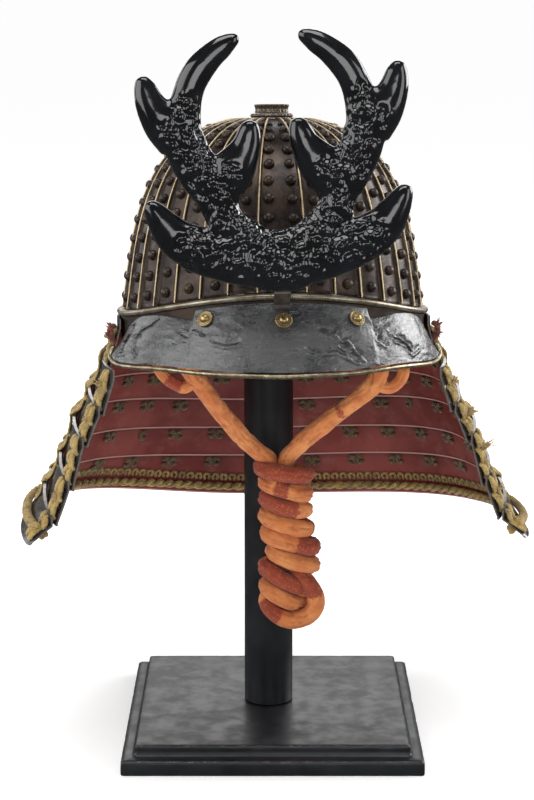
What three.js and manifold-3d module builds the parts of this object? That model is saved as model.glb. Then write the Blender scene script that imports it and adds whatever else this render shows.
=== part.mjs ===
// Kabuto: a ribbed and riveted samurai helmet with an antler crest, on its plain black stand.
// Millimetres, +Z up, front towards -Y. Origin: middle of the underside of the stand's base.
import * as THREE from 'three';
import { mergeVertices } from 'three/addons/utils/BufferGeometryUtils.js';
import Module from 'manifold-3d';

const wasm = await Module();
wasm.setup();

// ---------------------------------------------------------------- driving dimensions
const GAP = 0.3;                       // clearance between pieces that touch

const BASE_WIDTH = 230;                // square base of the stand
const BASE_HEIGHT = 20.4;
const BASE_STEP = 10.3;                // how far its upper step stands in from the edge
const POST_RADIUS = 19.2;
const POST_X = -3;                     // the post stands slightly left of the middle

const HELMET_AT = new THREE.Vector3(0, -4, 337);   // middle of the bowl's lower edge
const HELMET_TURN = 3.2;               // degrees about Z, front towards +X
const HELMET_TILT = 4.5;               // degrees, front edge up

const BOWL_HALF_WIDTH = 114.3;         // plate surface at the lower edge
const BOWL_HALF_LENGTH = 123.5;
const BOWL_HEIGHT = 147.8;
const BOWL_WALL = 2.6;
const RIB_COUNT = 32;
const RIB_HEIGHT = 2.5;
const RIB_FOOT = 1.5;                  // half the width of a rib where it leaves the plate
const FRONT_PLATE_ANGLE = 18;          // degrees; the front plate is wider than the others
const FRONT_ARCH = 19.3;               // how far the lower edge rises at the front
const ARCH_HALF_ANGLE = 85;            // degrees from the front to where the arch has ended

const FLANGE_HEIGHT = 4;
const FLANGE_STANDS_OUT = 5.7;
const BAND_WALL = 2.6;
const BAND_DEPTH = 27;
const BAND_ARCH_SHARE = 0.35;          // how much of the arch is left at the band's lower edge

const CROWN_FOOT = BOWL_HEIGHT + 0.6;  // the crown fitting stands on the bowl's top
const COLLAR_RADIUS = 16;
const COLLAR_HEIGHT = 3.5;
const DRUM_RADIUS = 13.3;
const DRUM_BORE_RADIUS = 9;
const DRUM_HEIGHT = 6.5;
const DRUM_FLUTES = 20;
const FLUTE_DEPTH = 1.1;

const VISOR_WALL = 2;
const VISOR_RIM_RADIUS = 1.7;
const VISOR_TOP = [119.7, 128.7];      // half-width and half-length of its upper edge
const VISOR_BOTTOM = [129, 152];       // the same of its lower edge
const VISOR_END = 74;                  // degrees from the front to each pointed end
const VISOR_BULGE = 2.5;

const CREST_AT = new THREE.Vector3(-2, -154, 52);  // in the helmet's frame
const CREST_LEAN = 3.4;                // degrees towards -X
const HOLDER_WIDTH = 11.5;

const LAME_WALL = 2.2;
const LAME_OVERLAP = 7;
const LAME_SPACE = 0.6;                // between two lames where they overlap
const LAME_FRONT_Y = -55;              // where the neck guard's front edges stand
const FIRST_LAME_FRONT_Y = -20;        // the highest lame stops short of the visor
const LAME_PLAN_POWER = { front: 2.6, back: 2.15 };  // ellipses, squarer towards the front
// Half-width and half-length inside the lower edge of each lame, and that edge's height
// at the back, at the sides (the right one where it differs) and at the front corners.
const LAMES = [
  { wide: 127, long: 133, back: -40, side: -38, front: -44 },
  { wide: 138, long: 140, back: -64, side: -58, front: -71 },
  { wide: 150, long: 148, back: -88, side: -80, front: -94 },
  { wide: 161, long: 155, back: -113, side: -106, front: -127 },
  { wide: 173.5, long: 162, back: -138, side: -130, front: -153 },
  { wide: 194, long: 172, back: -173, side: -156, rightSide: -166, front: -167 },
];
const SIDE_SHARE = 0.55;               // where the sides are, from the back (0) to a front edge (1)
const HEM_CORD_RADIUS = 3;
const HEM_CORD_RISE = 8;               // above the lowest lame's lower edge

const CORD_RADIUS = 6.5;
const LOOP_RADIUS = 4.5;
const CORD_LEFT = [[-68, -93, 323], [-65, -89, 314], [-59, -82, 302], [-50, -73, 288], [-40, -64, 272],
  [-30, -55, 257], [-19, -47, 243], [-9, -41.5, 233], [-3.5, -39.5, 228.5]];
const CORD_RIGHT = [[79, -78, 323], [80, -80, 311], [76, -79, 296], [62, -71, 281], [46, -62, 267],
  [31, -53, 252], [20, -45, 240], [13.5, -41, 232.5], [11, -39.5, 228.5]];
const LOOP_LEFT = [[-85, -73, 319], [-84, -79, 307], [-77, -81, 299], [-71.5, -80, 295], [-66, -79, 292.5]];
const LOOP_RIGHT = [[90, -69, 319], [97, -75, 307], [95.5, -76.5, 298.5], [91, -76.5, 294], [86.5, -77, 292]];
const HANK_TOP = new THREE.Vector3(11, -39, 222);
const HANK_BOTTOM = new THREE.Vector3(15.5, -39.5, 95);
const HANK_HALF_WIDTH = 24;
const HANK_HALF_DEPTH = 18;

// ---------------------------------------------------------------- materials
const finish = (color, roughness, metalness) => new THREE.MeshStandardMaterial({ color, roughness, metalness });
const RUSSET_IRON = finish(0x3a2b25, 0.5, 0.7);
const BROWN_IRON = finish(0x4a352b, 0.5, 0.6);
const BRASS = finish(0xa98d55, 0.35, 0.9);
const GREY_LACQUER = finish(0x4a4b4e, 0.35, 0.2);
const BLACK_LACQUER = finish(0x0b0c10, 0.15, 0.1);
const RED_LACQUER = finish(0x7d2f2c, 0.45, 0.0);
const OCHRE_SILK = finish(0xa98536, 0.85, 0.0);
const ORANGE_SILK = finish(0xc0602a, 0.85, 0.0);
const STAND_BLACK = finish(0x16181b, 0.5, 0.0);

// ---------------------------------------------------------------- geometry helpers
const rad = THREE.MathUtils.degToRad;
const at = (x, y, z) => new THREE.Vector3(x, y, z);
const steps = (count, from, to) => Array.from({ length: count + 1 }, (_, i) => from + ((to - from) * i) / count);

// A closed body from points and triangles, turned so that its faces point out.
function closedBody(points, triangles) {
  let volume = 0;
  for (const [a, b, c] of triangles) {
    volume += points[a].dot(at(0, 0, 0).crossVectors(points[b], points[c]));
  }
  const faces = volume < 0 ? triangles.map(([a, b, c]) => [a, c, b]) : triangles;
  const geometry = new THREE.BufferGeometry();
  geometry.setAttribute('position', new THREE.Float32BufferAttribute(points.flatMap((p) => p.toArray()), 3));
  geometry.setIndex(faces.flat());
  geometry.computeVertexNormals();
  return geometry;
}

// Sections with the same number of points, skinned one after the other. A looped skin
// joins its last section to its first; an open one is closed by a fan at each end.
function skin(sections, looped) {
  const points = sections.flat();
  const size = sections[0].length;
  const triangles = [];
  const bands = looped ? sections.length : sections.length - 1;
  for (let k = 0; k < bands; k += 1) {
    const here = k * size;
    const next = ((k + 1) % sections.length) * size;
    for (let j = 0; j < size; j += 1) {
      const i = (j + 1) % size;
      triangles.push([here + j, here + i, next + i], [here + j, next + i, next + j]);
    }
  }
  if (!looped) {
    for (const [first, flip] of [[0, true], [points.length - size, false]]) {
      const middle = at(0, 0, 0);
      for (let j = 0; j < size; j += 1) middle.addScaledVector(points[first + j], 1 / size);
      const hub = points.push(middle) - 1;
      for (let j = 0; j < size; j += 1) {
        const i = (j + 1) % size;
        triangles.push(flip ? [first + i, first + j, hub] : [first + j, first + i, hub]);
      }
    }
  }
  return closedBody(points, triangles);
}

// A plate between two grids of points of the same size.
function plate(outer, inner) {
  const rows = outer.length;
  const columns = outer[0].length;
  const points = [...outer.flat(), ...inner.flat()];
  const half = rows * columns;
  const out = (r, c) => r * columns + c;
  const into = (r, c) => half + out(r, c);
  const triangles = [];
  const quad = (a, b, c, d) => triangles.push([a, b, c], [a, c, d]);
  for (let r = 0; r + 1 < rows; r += 1) {
    for (let c = 0; c + 1 < columns; c += 1) {
      quad(out(r, c), out(r, c + 1), out(r + 1, c + 1), out(r + 1, c));
      quad(into(r, c), into(r + 1, c), into(r + 1, c + 1), into(r, c + 1));
    }
    quad(out(r, 0), out(r + 1, 0), into(r + 1, 0), into(r, 0));
    quad(out(r, columns - 1), into(r, columns - 1), into(r + 1, columns - 1), out(r + 1, columns - 1));
  }
  for (let c = 0; c + 1 < columns; c += 1) {
    quad(out(0, c), into(0, c), into(0, c + 1), out(0, c + 1));
    quad(out(rows - 1, c), out(rows - 1, c + 1), into(rows - 1, c + 1), into(rows - 1, c));
  }
  return closedBody(points, triangles);
}

function solid(geometry) {
  const bare = geometry.clone();
  bare.deleteAttribute('normal');
  bare.deleteAttribute('uv');
  const merged = mergeVertices(bare, 1e-4);
  return new wasm.Manifold(new wasm.Mesh({
    numProp: 3,
    vertProperties: new Float32Array(merged.attributes.position.array),
    triVerts: new Uint32Array(merged.index.array),
  }));
}

function geometryOf(body) {
  const mesh = body.getMesh();
  const geometry = new THREE.BufferGeometry();
  geometry.setAttribute('position', new THREE.BufferAttribute(mesh.vertProperties, 3));
  geometry.setIndex(new THREE.BufferAttribute(mesh.triVerts, 1));
  geometry.computeVertexNormals();
  return geometry;
}

// A round tube along a smooth curve through the points.
function tube(points, radius, sides, lengthSteps) {
  const path = new THREE.CatmullRomCurve3(points);
  const section = new THREE.Shape(steps(sides, 0, 2 * Math.PI).slice(0, -1)
    .map((angle) => new THREE.Vector2(radius * Math.cos(angle), radius * Math.sin(angle))));
  return new THREE.ExtrudeGeometry(section, { steps: lengthSteps, extrudePath: path, bevelEnabled: false });
}

function turned(profile, sides) {
  const lathe = new THREE.LatheGeometry(profile.map(([r, z]) => new THREE.Vector2(r, z)), sides);
  lathe.rotateX(Math.PI / 2);
  return lathe;
}

function node(name, geometry, material) {
  const mesh = new THREE.Mesh(geometry, material);
  mesh.name = name;
  return mesh;
}

// Straight lines between hand-set points [at, value].
function along(table, where) {
  const last = table.length - 1;
  const k = Math.max(1, table.findIndex(([place], i) => i > 0 && (where <= place || i === last)));
  const [p0, v0] = table[k - 1];
  const [p1, v1] = table[k];
  return THREE.MathUtils.mapLinear(THREE.MathUtils.clamp(where, p0, p1), p0, p1, v0, v1);
}

// ---------------------------------------------------------------- bowl
// Angles run from the front: 0 faces -Y and 90 faces +X.
const plan = (angle, wide, long, z) => at(wide * Math.sin(rad(angle)), -long * Math.cos(rad(angle)), z);
const LONG_PER_WIDE = BOWL_HALF_LENGTH / BOWL_HALF_WIDTH;

function arch(angle) {
  const away = Math.abs(THREE.MathUtils.euclideanModulo(angle + 180, 360) - 180);
  return away >= ARCH_HALF_ANGLE ? 0 : FRONT_ARCH * Math.cos(rad((away * 90) / ARCH_HALF_ANGLE)) ** 2;
}

// The bowl's meridian, from the lower edge to the crown's small flat top.
const MERIDIAN = new THREE.CubicBezierCurve(
  new THREE.Vector2(BOWL_HALF_WIDTH, 0),
  new THREE.Vector2(BOWL_HALF_WIDTH - 10, 69),
  new THREE.Vector2(101, BOWL_HEIGHT - 5),
  new THREE.Vector2(12, BOWL_HEIGHT),
);

function meridianAt(height) {
  let low = 0;
  let high = 1;
  for (let i = 0; i < 30; i += 1) {
    const middle = (low + high) / 2;
    if (MERIDIAN.getPoint(middle).y < height) low = middle;
    else high = middle;
  }
  return { radius: MERIDIAN.getPoint(low).x, slope: MERIDIAN.getTangent(low) };
}

function ribAngles() {
  const spacing = (360 - FRONT_PLATE_ANGLE) / (RIB_COUNT - 1);
  return steps(RIB_COUNT - 1, 0, RIB_COUNT - 1).map((k) => FRONT_PLATE_ANGLE / 2 + k * spacing);
}

function bowl() {
  const levels = [0, 0.17, 0.34, 0.51, 0.67, 0.8, 0.9, 0.965, 1];
  const sections = levels.map((level) => ribAngles().flatMap((angle) => {
    const foot = arch(angle) + FLANGE_HEIGHT + 3 * GAP;
    const z = THREE.MathUtils.lerp(foot, BOWL_HEIGHT, level);
    const { radius, slope } = meridianAt(z);
    const rise = RIB_HEIGHT * Math.min(1, (1 - level) * 8);
    const swing = THREE.MathUtils.radToDeg(RIB_FOOT / Math.max(radius, 30));
    const top = plan(angle, radius + rise * slope.y, (radius + rise * slope.y) * LONG_PER_WIDE, z - rise * slope.x);
    return [
      plan(angle - swing, radius, radius * LONG_PER_WIDE, z),
      top,
      plan(angle + swing, radius, radius * LONG_PER_WIDE, z),
    ];
  }));
  const outside = solid(skin(sections, false));
  return geometryOf(outside.subtract(solid(cavity(0))));
}

// The room inside the bowl, smaller all round by the margin.
function cavity(margin) {
  const inset = BOWL_WALL + margin;
  const heights = [-12, 20, 50, 80, 105, 122, 134, 141, BOWL_HEIGHT - inset];
  return skin(heights.map((z) => {
    const radius = meridianAt(Math.max(0, z + inset)).radius - inset;
    return steps(32, 0, 360).slice(0, -1).map((angle) => plan(angle, radius, radius * LONG_PER_WIDE, z));
  }), false);
}

// A hoop that follows the bowl's lower edge; the section is [offset from the plates, height].
// What lies below the drop height follows the arch less.
function hoop(section, drop) {
  return skin(steps(48, 0, 360).slice(0, -1).map((angle) => section.map(([offset, z]) => plan(
    angle, BOWL_HALF_WIDTH + offset, BOWL_HALF_LENGTH + offset, arch(angle) * (z < drop ? BAND_ARCH_SHARE : 1) + z,
  ))), true);
}

const flange = () => hoop([
  [-3, 0], [FLANGE_STANDS_OUT - 1.2, 0], [FLANGE_STANDS_OUT, FLANGE_HEIGHT / 2],
  [FLANGE_STANDS_OUT - 1.2, FLANGE_HEIGHT], [-3, FLANGE_HEIGHT],
], -Infinity);

const band = () => hoop([
  [0, -BAND_DEPTH], [BAND_WALL, -BAND_DEPTH], [BAND_WALL, -GAP], [0, -GAP],
], -1);

// ---------------------------------------------------------------- crown fitting
function crownCollar() {
  const top = CROWN_FOOT + COLLAR_HEIGHT;
  const flat = COLLAR_RADIUS - 1;
  return turned([[0, CROWN_FOOT], [flat, CROWN_FOOT], [COLLAR_RADIUS, CROWN_FOOT + 1.7], [flat, top], [0, top]], 24);
}

function crownDrum() {
  const outline = new THREE.Shape(steps(2 * DRUM_FLUTES, 0, 2 * Math.PI).slice(0, -1).map((angle, i) => {
    const radius = i % 2 ? DRUM_RADIUS - FLUTE_DEPTH : DRUM_RADIUS;
    return new THREE.Vector2(radius * Math.cos(angle), radius * Math.sin(angle));
  }));
  const bore = new THREE.Path();
  bore.absarc(0, 0, DRUM_BORE_RADIUS, 0, 2 * Math.PI, true);
  outline.holes.push(bore);
  const drum = new THREE.ExtrudeGeometry(outline, { depth: DRUM_HEIGHT, bevelEnabled: false, curveSegments: 10 });
  drum.translate(0, 0, CROWN_FOOT + COLLAR_HEIGHT + GAP);
  return drum;
}

// ---------------------------------------------------------------- visor
// Heights of the visor's two edges at an angle from the front.
const VISOR_TOP_EDGE = [[0, 17.4], [8, 17], [16, 15.8], [25, 13.4], [31, 11.4], [32.5, 3.6], [38, 4.2], [45, 5.8],
  [51, 5.2], [56, 3.8], [61, 1], [66, -4.5], [71, -12.5], [VISOR_END, -20]];
const VISOR_LOW_EDGE = [[0, -30.4], [25, -29.4], [40, -28.4], [48, -28.9], [56, -30.1], [65, -31], [71, -30.8],
  [VISOR_END, -28.5]];

function visorPoint(angle, down, inset) {
  const wide = THREE.MathUtils.lerp(VISOR_TOP[0], VISOR_BOTTOM[0], down);
  const long = THREE.MathUtils.lerp(VISOR_TOP[1], VISOR_BOTTOM[1], down);
  const swell = VISOR_BULGE * Math.sin(Math.PI * down) * Math.cos(rad(angle * 0.9)) - inset;
  const top = along(VISOR_TOP_EDGE, Math.abs(angle));
  const low = along(VISOR_LOW_EDGE, Math.abs(angle));
  return plan(angle, wide + swell, long + swell, THREE.MathUtils.lerp(top, low, down));
}

function visor() {
  const half = [4, 8, 12, 16, 20, 25, 31, 32.5, 38, 45, 51, 56, 61, 66, 71, VISOR_END];
  const angles = [...half.slice().reverse().map((a) => -a), 0, ...half];
  const rows = steps(4, 0, 1);
  const grid = (inset) => rows.map((down) => angles.map((angle) => visorPoint(angle, down, inset)));
  return plate(grid(0), grid(VISOR_WALL));
}

function visorRim() {
  const reach = VISOR_RIM_RADIUS + GAP + 0.9;
  const low = steps(24, -VISOR_END + 2, VISOR_END - 2).map((angle) => {
    const edge = visorPoint(angle, 1, VISOR_WALL / 2);
    const away = edge.clone().sub(visorPoint(angle, 0.9, VISOR_WALL / 2)).normalize();
    return edge.addScaledVector(away, reach);
  });
  const corner = along(VISOR_LOW_EDGE, VISOR_END);
  const end = (side) => [
    plan(side * (VISOR_END + 1.1), VISOR_BOTTOM[0] + 0.4, VISOR_BOTTOM[1] - 2, corner - 0.5),
    plan(side * (VISOR_END + 2.2), VISOR_BOTTOM[0] - 3, VISOR_BOTTOM[1] - 8, corner + 6),
  ];
  return tube([...end(-1).reverse(), ...low, ...end(1)], VISOR_RIM_RADIUS, 8, 44);
}

function visorRivet(angle, height) {
  const top = along(VISOR_TOP_EDGE, Math.abs(angle));
  const low = along(VISOR_LOW_EDGE, Math.abs(angle));
  const down = (height - top) / (low - top);
  const seat = visorPoint(angle, down, 0);
  const across = visorPoint(angle + 2, down, 0).sub(visorPoint(angle - 2, down, 0));
  const fall = visorPoint(angle, down + 0.05, 0).sub(visorPoint(angle, down - 0.05, 0));
  const normal = across.cross(fall).normalize().negate();
  if (normal.y > 0) normal.negate();
  const rivet = turned([[0, 0], [5.6, 0], [6, 0.6], [5.2, 1.2], [3.4, 1.2], [2.6, 2.6], [0, 3.2]], 12);
  rivet.applyQuaternion(new THREE.Quaternion().setFromUnitVectors(at(0, 0, 1), normal));
  rivet.translate(...seat.addScaledVector(normal, 0.75).toArray());
  return rivet;
}

// ---------------------------------------------------------------- crest
// Each limb of the left antler, from tip to root: [x, z, half-width], with x = 0 between the
// antlers and z = 0 at the middle of their joined foot.
const ANTLER_LIMBS = {
  main: [[-20, 152.5, 3.2], [-31, 146.3, 7.8], [-40, 140, 9.2], [-48, 132.3, 10.3], [-54.5, 123, 10.5],
    [-58.5, 113, 10.8], [-62, 100, 12.5], [-63, 87, 14.5], [-59, 72, 15.5], [-51, 57, 15.5], [-43, 41, 13.5],
    [-36, 26, 14], [-24, 9, 18.5], [-9, -2, 22], [6, -3, 22.5]],
  outer: [[-89, 129.5, 3], [-87.5, 123, 7.5], [-83.5, 109, 11.2], [-76, 97, 15], [-66, 84, 16]],
  inner: [[-16, 95, 3], [-17.2, 88, 8], [-21, 75.5, 11], [-30, 62, 15.5], [-42, 48, 16]],
  lower: [[-90, 44, 3], [-87.5, 38.5, 7], [-80, 26.5, 11.5], [-71, 16, 14.5], [-55, 7, 17], [-35, 2, 19.5],
    [-18, -1, 20.5]],
};
const CREST_SIDES = 8;
const CREST_HALF_DEPTH = { least: 3, share: 0.4, most: 9.6 };   // of a limb, from its half-width

function limb(stations, mirror) {
  const sections = stations.map(([x, z, half], k) => {
    const before = stations[Math.max(0, k - 1)];
    const after = stations[Math.min(stations.length - 1, k + 1)];
    const across = at(-(after[1] - before[1]), 0, after[0] - before[0]).normalize();
    const depth = Math.min(half, CREST_HALF_DEPTH.least + half * CREST_HALF_DEPTH.share, CREST_HALF_DEPTH.most);
    return steps(CREST_SIDES, 0, 2 * Math.PI).slice(0, -1).map((turn) => {
      const p = at(x, 0, z).addScaledVector(across, half * Math.cos(turn));
      p.y = depth * Math.sin(turn);
      p.x *= mirror;
      return p;
    });
  });
  return solid(skin(sections, false));
}

function crest() {
  const limbs = [1, -1].flatMap((side) => Object.values(ANTLER_LIMBS).map((stations) => limb(stations, side)));
  const joined = geometryOf(limbs.reduce((whole, next) => whole.add(next)));
  joined.rotateY(-rad(CREST_LEAN));
  joined.translate(...CREST_AT.toArray());
  return joined;
}

// A bent strip: its foot lies on the visor under the middle rivet, its tongue behind the crest.
function crestHolder() {
  const side = new THREE.Shape([
    [-131.5, 13.6], [-130.2, 16.2], [-133.5, 20.5], [-140.6, 26], [-140.6, 60], [-143.2, 60],
    [-143.2, 24.6], [-136, 18.6], [-133.4, 16.2], [-134.2, 13.6],
  ].map(([y, z]) => new THREE.Vector2(y, z)));
  const strip = new THREE.ExtrudeGeometry(side, { depth: HOLDER_WIDTH, bevelEnabled: false });
  strip.applyMatrix4(new THREE.Matrix4().makeBasis(at(0, 1, 0), at(0, 0, 1), at(1, 0, 0)));
  strip.translate(-HOLDER_WIDTH / 2 - 1, 0, 0);
  return strip;
}

// ---------------------------------------------------------------- neck guard
// A point on a squared ellipse, by the share of the way from the left front edge (-1)
// round the back (0) to the right front edge (1).
function guardPoint(share, wide, long, z, frontY) {
  const reach = Math.acos(frontY / long);
  const turn = share * reach;
  const power = 2 / (Math.cos(turn) < 0 ? LAME_PLAN_POWER.front : LAME_PLAN_POWER.back);
  const x = wide * Math.sign(Math.sin(turn)) * Math.abs(Math.sin(turn)) ** power;
  const y = long * Math.sign(Math.cos(turn)) * Math.abs(Math.cos(turn)) ** power;
  return at(x, y, z);
}

function lameEdge(lame, share) {
  const away = Math.abs(share);
  const side = share > 0 ? lame.rightSide ?? lame.side : lame.side;
  if (away < SIDE_SHARE) {
    return THREE.MathUtils.lerp(lame.back, side, THREE.MathUtils.smoothstep(away, 0, SIDE_SHARE));
  }
  return THREE.MathUtils.lerp(side, lame.front, ((away - SIDE_SHARE) / (1 - SIDE_SHARE)) ** 2);
}

function lame(index) {
  const own = LAMES[index];
  const above = index === 0 ? { wide: 115, long: 124, back: -9, side: -9, front: -9 } : LAMES[index - 1];
  const step = LAME_WALL + LAME_SPACE;
  const frontY = index === 0 ? FIRST_LAME_FRONT_Y : LAME_FRONT_Y;
  const stations = [
    { wide: above.wide + step, long: above.long + step, edge: above, lift: LAME_OVERLAP },
    { wide: above.wide + step, long: above.long + step, edge: above, lift: 0 },
    { wide: own.wide, long: own.long, edge: own, lift: 0 },
  ];
  const shares = steps(30, -1, 1);
  const grid = (offset) => stations.map(({ wide, long, edge, lift }) => shares.map((share) => guardPoint(
    share, wide + offset, long + offset, lameEdge(edge, share) + lift, frontY,
  )));
  return plate(grid(LAME_WALL), grid(0));
}

// A cord along the lowest lame, the given distance from the middle of its inside face.
function hemCord(distance) {
  const own = LAMES[LAMES.length - 1];
  const above = LAMES[LAMES.length - 2];
  const step = LAME_WALL + LAME_SPACE;
  const flare = own.wide - above.wide - step;
  const points = steps(24, -0.985, 0.985).map((share) => {
    const low = lameEdge(own, share);
    const height = lameEdge(above, share) - low;
    const slant = Math.atan2(flare, height);
    const up = HEM_CORD_RISE / height;
    const wide = THREE.MathUtils.lerp(own.wide, above.wide + step, up) + distance * Math.cos(slant);
    const long = THREE.MathUtils.lerp(own.long, above.long + step, up) + distance * Math.cos(slant);
    return guardPoint(share, wide, long, low + HEM_CORD_RISE + distance * Math.sin(slant), LAME_FRONT_Y);
  });
  return tube(points, HEM_CORD_RADIUS, 8, 40);
}

// ---------------------------------------------------------------- chin cord
const cordTube = (points, radius, count) => tube(points.map((p) => at(...p)), radius, 8, count);

function hank() {
  const height = HANK_TOP.distanceTo(HANK_BOTTOM);
  const body = turned([[0, 0], [0.5, 0], [0.86, 0.05], [1, 0.12], [1, 0.88], [0.85, 0.95], [0.5, 1], [0, 1]]
    .map(([r, z]) => [r * HANK_HALF_WIDTH, z * height]), 16);
  body.scale(1, HANK_HALF_DEPTH / HANK_HALF_WIDTH, 1);
  const rising = HANK_TOP.clone().sub(HANK_BOTTOM).normalize();
  body.applyQuaternion(new THREE.Quaternion().setFromUnitVectors(at(0, 0, 1), rising));
  body.translate(...HANK_BOTTOM.toArray());
  return body;
}

// ---------------------------------------------------------------- stand
function standBase() {
  const edge = BASE_WIDTH / 2;
  const step = edge - BASE_STEP;
  const profile = [[0, 0], [edge, 0], [edge, 10.6], [edge - 1.3, 11.9], [step + 1.2, 12.4], [step, 13.8],
    [step, 19.2], [step - 1.2, BASE_HEIGHT], [0, BASE_HEIGHT]];
  const square = turned(profile.map(([r, z]) => [r * Math.SQRT2, z]), 4);
  square.rotateZ(Math.PI / 4);
  return square;
}

// The post's top is cut to the inside of the bowl, which rests on it.
function standPost(helmetMatrix) {
  const foot = BASE_HEIGHT + GAP;
  const tall = HELMET_AT.z + BOWL_HEIGHT + 10;
  const rod = turned([[0, foot], [POST_RADIUS, foot], [POST_RADIUS, tall], [0, tall]], 32);
  rod.translate(POST_X, 0, 0);
  const room = cavity(GAP);
  room.applyMatrix4(helmetMatrix);
  const below = turned([[0, 0], [3 * POST_RADIUS, 0], [3 * POST_RADIUS, HELMET_AT.z + 60], [0, HELMET_AT.z + 60]], 12);
  return geometryOf(solid(rod).intersect(solid(room).add(solid(below))));
}

// ---------------------------------------------------------------- assembly
const helmet = new THREE.Group();
helmet.position.copy(HELMET_AT);
helmet.rotation.set(-rad(HELMET_TILT), 0, rad(HELMET_TURN), 'ZYX');
helmet.updateMatrix();
helmet.add(
  node('bowl', bowl(), RUSSET_IRON),
  node('bowl_flange', flange(), BROWN_IRON),
  node('rim_band', band(), BROWN_IRON),
  node('crown_collar', crownCollar(), BRASS),
  node('crown_drum', crownDrum(), BRASS),
  node('visor', visor(), GREY_LACQUER),
  node('visor_rim', visorRim(), BRASS),
  node('visor_rivet_left', visorRivet(-26.5, 5), BRASS),
  node('visor_rivet_centre', visorRivet(0, 5), BRASS),
  node('visor_rivet_right', visorRivet(25.5, 4.5), BRASS),
  node('crest_holder', crestHolder(), BROWN_IRON),
  node('crest', crest(), BLACK_LACQUER),
  node('hem_cord_inner', hemCord(-HEM_CORD_RADIUS - 1.3), OCHRE_SILK),
  node('hem_cord_outer', hemCord(LAME_WALL + HEM_CORD_RADIUS + 0.8), OCHRE_SILK),
);
LAMES.forEach((_, index) => helmet.add(node(`neck_lame_${index + 1}`, lame(index), RED_LACQUER)));

const kabuto = new THREE.Group();
kabuto.add(
  helmet,
  node('chin_cord_left', cordTube(CORD_LEFT, CORD_RADIUS, 8), ORANGE_SILK),
  node('chin_cord_right', cordTube(CORD_RIGHT, CORD_RADIUS, 8), ORANGE_SILK),
  node('cord_loop_left', cordTube(LOOP_LEFT, LOOP_RADIUS, 6), ORANGE_SILK),
  node('cord_loop_right', cordTube(LOOP_RIGHT, LOOP_RADIUS, 6), ORANGE_SILK),
  node('chin_cord_hank', hank(), ORANGE_SILK),
  node('stand_base', standBase(), STAND_BLACK),
  node('stand_post', standPost(helmet.matrix), STAND_BLACK),
);

export default kabuto;
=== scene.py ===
"""Looks of a kabuto helmet on a plain display stand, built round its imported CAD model.

Shapes are worked out in millimetres. What belongs to the helmet is worked out in the helmet's own frame
(front -Y, the bowl's lower edge at z 0) and then turned into the row frame by helmet_to_row().
"""

import math
import random

import bmesh
import bpy
import numpy as np
from mathutils import Matrix, Vector, noise


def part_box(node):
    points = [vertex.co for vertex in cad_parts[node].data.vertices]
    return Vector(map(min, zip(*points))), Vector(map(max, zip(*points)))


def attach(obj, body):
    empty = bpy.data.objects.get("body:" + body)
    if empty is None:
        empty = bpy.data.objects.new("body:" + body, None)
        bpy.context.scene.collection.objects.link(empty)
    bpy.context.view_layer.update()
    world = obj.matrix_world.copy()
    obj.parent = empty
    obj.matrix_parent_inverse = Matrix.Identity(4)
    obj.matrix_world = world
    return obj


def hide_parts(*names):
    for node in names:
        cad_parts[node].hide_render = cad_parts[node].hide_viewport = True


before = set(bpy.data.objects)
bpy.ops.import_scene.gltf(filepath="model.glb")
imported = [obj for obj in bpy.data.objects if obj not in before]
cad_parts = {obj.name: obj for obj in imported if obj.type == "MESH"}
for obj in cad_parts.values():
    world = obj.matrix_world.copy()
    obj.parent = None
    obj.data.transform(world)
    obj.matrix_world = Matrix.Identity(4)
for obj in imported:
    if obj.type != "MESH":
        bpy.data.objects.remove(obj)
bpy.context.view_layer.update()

MM = 0.001
BODY = "root"

# ---------------------------------------------------------------- dimensions, as in the CAD model
HELMET_AT = np.array([0.0, -4.0, 337.0])
HELMET_TURN = 3.2
HELMET_TILT = 4.5
HELMET_MATRIX = np.array(
    Matrix.Rotation(math.radians(HELMET_TURN), 3, "Z")
    @ Matrix.Rotation(-math.radians(HELMET_TILT), 3, "X")
)

BOWL_WIDE = 114.3
BOWL_LONG = 123.5
BOWL_HIGH = 147.8
BOWL_WALL = 2.6
LONG_PER_WIDE = BOWL_LONG / BOWL_WIDE
RIBS = 32
RIB_HEIGHT = 2.5
FRONT_PLATE = 18.0
FRONT_ARCH = 19.3
ARCH_HALF_ANGLE = 85.0
FLANGE_HEIGHT = 4.0
FLANGE_OUT = 5.7
BAND_WALL = 2.6
BAND_DEPTH = 27.0
BAND_ARCH_SHARE = 0.35       # how much of the arch is left at the band's lower edge
CROWN_FOOT = BOWL_HIGH + 0.6

VISOR_TOP = (119.7, 128.7)
VISOR_BOTTOM = (129.0, 152.0)
VISOR_END = 74.0
VISOR_BULGE = 2.5
VISOR_WALL = 2.0
VISOR_RIM = 1.7
VISOR_TOP_EDGE = np.array([
    (0, 17.4), (8, 17), (16, 15.8), (25, 13.4), (31, 11.4), (32.5, 3.6), (38, 4.2), (45, 5.8), (51, 5.2),
    (56, 3.8), (61, 1), (66, -4.5), (71, -12.5), (74, -20),
])
VISOR_LOW_EDGE = np.array([
    (0, -30.4), (25, -29.4), (40, -28.4), (48, -28.9), (56, -30.1), (65, -31), (71, -30.8), (74, -28.5),
])

CREST_AT = np.array([-2.0, -154.0, 52.0])
CREST_LEAN = 3.4

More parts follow.
